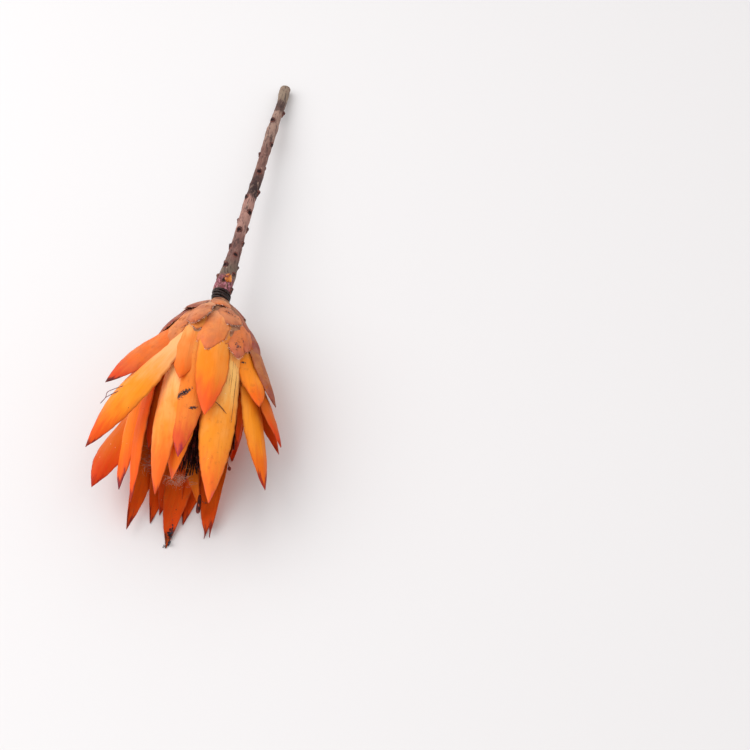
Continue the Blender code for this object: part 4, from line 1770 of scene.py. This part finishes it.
@dataclass
class RingedNeck:
    """The charred-looking top of the stem: a core with close uneven rings."""

    slot: ClassVar[str] = "neck_bark"
    node: ClassVar[str] = "ringed_neck"

    form: HeadForm
    length: float = 5.0
    count: int = 5
    gap: float = 0.3
    core_share: float = 0.9
    core_sides: int = 48
    overlap: float = 0.8
    unevenness: float = 0.05
    ring: NeckRings = NeckRings()

    def core(self, finish: Material) -> Object:
        """Turn the core inside the rings.

        Args:
            finish: Its material.

        Returns:
            The piece.
        """
        middle = self.form.neck_to_rest + self.gap + 0.5 * self.length
        place = Matrix.Translation(Vector((0, middle, self.form.axis_height)) * MM)
        radius = self.core_share * self.ring.radius * MM
        core = bmesh.new()
        bmesh.ops.create_cone(
            core, cap_ends=True, segments=self.core_sides, radius1=radius, radius2=radius,
            depth=(self.length + 2 * self.overlap) * MM,
            matrix=place @ Matrix.Rotation(-90 * DEGREE, 4, "X"),
        )
        return solid_piece("neck_core", core, finish, rims=True)

    def pieces(self) -> list[Object]:
        """Build the neck's pieces.

        Returns:
            The pieces.
        """
        finish = NECK_BARK.material()
        index = np.arange(self.count)
        points = np.zeros((self.count, 3))
        points[:, 1] = self.form.neck_to_rest + self.gap + (index + 0.5) * self.length / self.count
        points[:, 2] = self.form.axis_height
        seeds = point_object("neck_rings", points, size=1 + self.unevenness * np.sin(2.3 * index))
        return [self.ring.grow(seeds, finish), self.core(finish)]


@dataclass(frozen=True)
class LeafScars(Growth):
    """Copies of a scar in a spiral along a route, ever further apart.

    Args:
        scar: One scar, lying on the origin with its face up and the stem along Y.
        count: How many.
        turn: Turn from each to the next.
        start: Distance of the first from the route's start.
        first_step: Distance from the first to the second.
        growth: How many times longer each step is than the one before.
        sink: How deep each sits in the bark.
        smallest: Size of the smallest, as a share of the scar's.
        largest: Size of the largest, as a share of the scar's.
        curve_points: How many points the route's curve gets.
        seed: Seed of their sizes.
    """

    UNITS: ClassVar[dict[str, float]] = {
        "turn": DEGREE, "start": MM, "first_step": MM, "sink": MM,
    }

    scar: Object
    count: int = 30
    turn: float = GOLDEN_TURN
    start: float = 1.6
    first_step: float = 1.5
    growth: float = 1.07
    sink: float = 0.3
    smallest: float = 0.8
    largest: float = 1.2
    curve_points: int = 300
    seed: int = 7

    def nodes(self, node: Adder, out: dict) -> Node:
        """Add the nodes: how far along and how far round each scar is, and how it stands.

        Args:
            node: Adds a node to the tree.
            out: The tree's inputs by name.

        Returns:
            The node that gives the scars.
        """
        index = node("GeometryNodeInputIndex")
        power = node("ShaderNodeMath", {0: out["Growth"], 1: index}, operation="POWER")
        grown, rate = (
            node("ShaderNodeMath", {0: value, 1: 1.0}, operation="SUBTRACT")
            for value in (power, out["Growth"])
        )
        steps = node("ShaderNodeMath", {0: grown, 1: rate}, operation="DIVIDE")
        length = node("ShaderNodeMath", {
            0: steps, 1: out["First step"], 2: out["Start"],
        }, operation="MULTIPLY_ADD")
        sample = node("GeometryNodeSampleCurve", {
            "Curves": curve_through(node, out["Geometry"], out["Curve points"]), "Length": length,
            "Value": node("GeometryNodeInputNamedAttribute", {"Name": "girth"}, data_type="FLOAT"),
        }, mode="LENGTH", use_all_curves=True).outputs
        tangent = sample["Tangent"]
        level = node("ShaderNodeVectorMath", {0: tangent, 1: (0, 0, 1)}, operation="CROSS_PRODUCT")
        side = node("ShaderNodeVectorRotate", {
            "Vector": node("ShaderNodeVectorMath", {0: level}, operation="NORMALIZE"),
            "Axis": tangent,
            "Angle": node("ShaderNodeMath", {0: index, 1: out["Turn"]}, operation="MULTIPLY"),
        }, rotation_type="AXIS_ANGLE")
        reach = node("ShaderNodeMath", {0: sample["Value"], 1: MM}, operation="MULTIPLY")
        reach = node("ShaderNodeMath", {0: reach, 1: out["Sink"]}, operation="SUBTRACT")
        place = node("ShaderNodeVectorMath", {
            0: side, 1: reach, 2: sample["Position"],
        }, operation="MULTIPLY_ADD")
        size = node("FunctionNodeRandomValue", {
            2: out["Smallest"], 3: out["Largest"], "Seed": out["Seed"],
        }, data_type="FLOAT")
        return node("GeometryNodeInstanceOnPoints", {
            "Points": node("GeometryNodePoints", {"Count": out["Count"], "Position": place}),
            "Instance": node("GeometryNodeObjectInfo", {"Object": out["Scar"]}).outputs["Geometry"],
            "Rotation": node("FunctionNodeAxesToRotation", {
                "Primary Axis": side, "Secondary Axis": tangent,
            }, primary_axis="Z", secondary_axis="Y"),
            "Scale": size.outputs[1],
        })


@dataclass
class WoodyStem:
    """Bare bent stem with bark relief, leaf scars, a resin drop and a weathered cut end."""

    slot: ClassVar[str] = "stem_bark"
    node: ClassVar[str] = "stem"

    form: HeadForm
    route: Table = (
        (0.0, 5.6, 20.9, 4.0), (0.0, 8.0, 20.9, 4.05), (0.6, 12.0, 20.75, 3.9), (1.1, 17.0, 20.3, 3.7),
        (1.5, 22.0, 19.7, 3.4), (1.9, 28.0, 19.0, 3.05), (2.3, 34.0, 18.3, 2.8),
        (2.9, 46.0, 16.9, 2.65), (3.5, 58.5, 15.4, 2.7), (4.3, 70.0, 14.1, 2.6),
        (5.4, 83.0, 12.5, 2.5), (6.2, 97.0, 10.8, 2.4),
        (7.0, 111.5, 8.9, 2.55), (7.6, 119.0, 7.95, 2.85), (8.3, 128.5, 6.6, 2.45),
        (9.5, 143.0, 4.45, 2.5), (10.2, 156.5, 2.55, 2.7),
    )
    bark: Tube = Tube(rings=620, sides=48, lumps=1.2, grain=0.55)
    scar_size: tuple[float, float, float] = (1.35, 1.9, 1.1)
    scar_pit: float = 0.55
    scar_lip: float = 0.3
    cut_share: float = 0.96
    cut_rise: float = 0.35
    cut_hollow: float = 0.18
    cut_rings: float = 0.03
    resin_lumps: Table = (
        (2.3, 12.9, 24.0, 1.5), (1.2, 12.3, 24.1, 1.3), (1.9, 11.2, 24.1, 1.5),
        (2.9, 11.4, 23.6, 1.2),
    )
    resin_ripple: float = 0.12

    def placed(self, table: Table) -> np.ndarray:
        """Turn rows of x, y from the neck, z and radius into rows in the frame."""
        return np.array(table) + (0, self.form.neck_to_rest, 0, 0)

    def scar(self) -> Object:
        """Model one leaf scar: a small cushion with a pit and a lip.

        Returns:
            The object, which the scars' tree copies.
        """
        cushion = bmesh.new()
        bmesh.ops.create_uvsphere(cushion, u_segments=20, v_segments=12, radius=1.0)
        pits = []
        for vert in cushion.verts:
            x, y, z = vert.co
            pit = math.exp(-((x / 0.62) ** 2 + ((y + 0.2) / 0.4) ** 2)) * (z > 0)
            lip = math.exp(-((x / 0.8) ** 2 + ((y - 0.62) / 0.25) ** 2)) * (z > 0)
            top = z - self.scar_pit * pit + self.scar_lip * lip
            vert.co = [MM * size * share for size, share in zip(self.scar_size, (x, y, top))]
            pits.append(pit)
        scar = solid_piece("leaf_scar", cushion)
        # The pit's weight marks where the finish paints shade into the hollow.
        set_attribute(scar.data, "pit", np.array(pits))
        return scar

    def scars(self) -> Object:
        """Set the leaf scars along the stem.

        Returns:
            The piece.
        """
        scar = self.scar()
        seeds = route_object("leaf_scars", [self.placed(self.route)])
        scars = LeafScars(scar).grow(seeds, SCAR_CORK.material())
        bpy.data.objects.remove(scar)
        return scars

    def cut_end(self) -> Object:
        """Model the weathered wood at the cut, a low dome on the end of the bark.

        Returns:
            The piece.
        """
        before, last = self.placed(self.route[-2:])
        way, radius = Vector(last[:3] - before[:3]), self.cut_share * last[3]
        disc = bmesh.new()
        bmesh.ops.create_uvsphere(disc, u_segments=40, v_segments=16, radius=1.0)
        for vert in disc.verts:
            ring = math.hypot(vert.co.x, vert.co.y)
            hollow = self.cut_hollow * math.exp(-((ring / 0.2) ** 2))
            vert.co.z = self.cut_rise * vert.co.z - hollow + self.cut_rings * math.sin(26 * ring)
            vert.co.xy *= radius
        turn = way.to_track_quat("Z", "Y").to_matrix().to_4x4()
        place = Matrix.Scale(MM, 4) @ Matrix.Translation(last[:3]) @ turn
        bmesh.ops.transform(disc, matrix=place, verts=disc.verts)
        return solid_piece("cut_end", disc, CUT_WOOD.material())

    def resin(self) -> Object:
        """Model the dried drop of resin near the neck, as a few lumps run together.

        Returns:
            The piece.
        """
        drop = bmesh.new()
        for *place, size in self.placed(self.resin_lumps):
            matrix = Matrix.Translation(place)
            bmesh.ops.create_icosphere(drop, subdivisions=3, radius=size, matrix=matrix)
        for vert in drop.verts:
            x, y, z = vert.co
            sway = Vector((math.sin(2.7 * y + 1.9 * z), 0, math.sin(3.1 * x + 2.3 * y)))
            vert.co = (vert.co + self.resin_ripple * sway) * MM
        return solid_piece("resin_drop", drop, RESIN.material())

    def pieces(self) -> list[Object]:
        """Build the stem's pieces.

        Returns:
            The pieces.
        """
        bark = self.bark.along("stem_bark", [self.placed(self.route)], Bark().material())
        return [bark, self.scars(), self.cut_end(), self.resin()]


@dataclass(frozen=True)
class Studio:
    """Plain pale floor, soft light from the left and a camera at the photo's angle."""

    floor_size: float = 4.0
    floor_colour: str = "#E6E4E5"
    floor_roughness: float = 0.7
    lens: float = 70.0
    sensor: float = 36.0
    clip_start: float = 0.01
    camera_place: tuple[float, float, float] = (102.819, -364.461, 538.855)
    camera_turn: float = 4.74
    camera_elevation: float = 54.9
    key_power: float = 7.6
    key_size: float = 1.2
    key_place: tuple[float, float, float] = (-0.75, 0.05, 0.85)
    sky: float = 0.86
    sky_colour: str = "#FFFEFD"

    def floor(self) -> None:
        """Lay the floor."""
        sheet = bmesh.new()
        bmesh.ops.create_grid(sheet, x_segments=1, y_segments=1, size=0.5 * self.floor_size)
        material = bpy.data.materials.new("matt_pale_floor")
        material.use_nodes = True
        fill(material.node_tree, material.node_tree.nodes["Principled BSDF"], {
            "Base Color": linear_colour(self.floor_colour), "Roughness": self.floor_roughness,
        })
        solid_piece("floor", sheet, material)

    def lights(self) -> None:
        """Hang the key light and fill the rest from the sky."""
        data = bpy.data.lights.new("key", "AREA")
        data.shape = "DISK"
        data.size = self.key_size
        data.energy = self.key_power
        key = bpy.data.objects.new("key", data)
        key.location = self.key_place
        key.rotation_mode = "QUATERNION"
        key.rotation_quaternion = (-Vector(self.key_place)).to_track_quat("-Z", "Y")
        bpy.context.scene.collection.objects.link(key)
        world = bpy.data.worlds.new("soft_sky")
        world.use_nodes = True
        fill(world.node_tree, world.node_tree.nodes["Background"], {
            "Color": linear_colour(self.sky_colour), "Strength": self.sky,
        })
        bpy.context.scene.world = world

    def camera(self) -> None:
        """Set the camera where the photo was taken from."""
        turn, rise = self.camera_turn * DEGREE, self.camera_elevation * DEGREE
        right = Vector((math.cos(turn), math.sin(turn), 0))
        back = Vector((
            math.cos(rise) * math.sin(turn), -math.cos(rise) * math.cos(turn), math.sin(rise),
        ))
        data = bpy.data.cameras.new("camera")
        data.lens = self.lens
        data.sensor_width = self.sensor
        data.clip_start = self.clip_start
        camera = bpy.data.objects.new("camera", data)
        axes = Matrix((right, back.cross(right), back)).transposed().to_4x4()
        camera.matrix_world = Matrix.Translation(Vector(self.camera_place) * MM) @ axes
        bpy.context.scene.collection.objects.link(camera)
        bpy.context.scene.camera = camera

    def build(self) -> None:
        """Build the floor, lights and camera."""
        self.camera()
        self.floor()
        self.lights()
        bpy.context.scene.view_settings.view_transform = "Standard"


def finish_piece(obj: Object, slot: str, *nodes: str) -> None:
    """Keep a piece off the floor, let it ride on the part's one body, and hide the nodes that it
    replaces.

    Args:
        obj: The piece, at the origin.
        slot: The record's material slot; not used.
        nodes: The nodes of the part that it replaces.
    """
    points = np.empty(3 * len(obj.data.vertices), dtype=np.float32)
    obj.data.vertices.foreach_get("co", points)
    points[2::3] = np.maximum(points[2::3], FLOOR_GAP * MM)
    obj.data.vertices.foreach_set("co", points)
    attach(obj, BODY)
    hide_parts(*nodes)
    log.info("%s: %d faces", obj.name, len(obj.data.polygons))


def main() -> None:
    """Build the sugarbush piece by piece, then the studio round it."""
    logging.basicConfig(level=logging.INFO, format="%(name)s: %(message)s")
    form = HeadForm()
    for part in (FlowerHead(form), FloretBunch(form), RingedNeck(form), WoodyStem(form)):
        for piece in part.pieces():
            finish_piece(piece, part.slot, part.node)
    Studio().build()


if __name__ == "__main__":
    main()
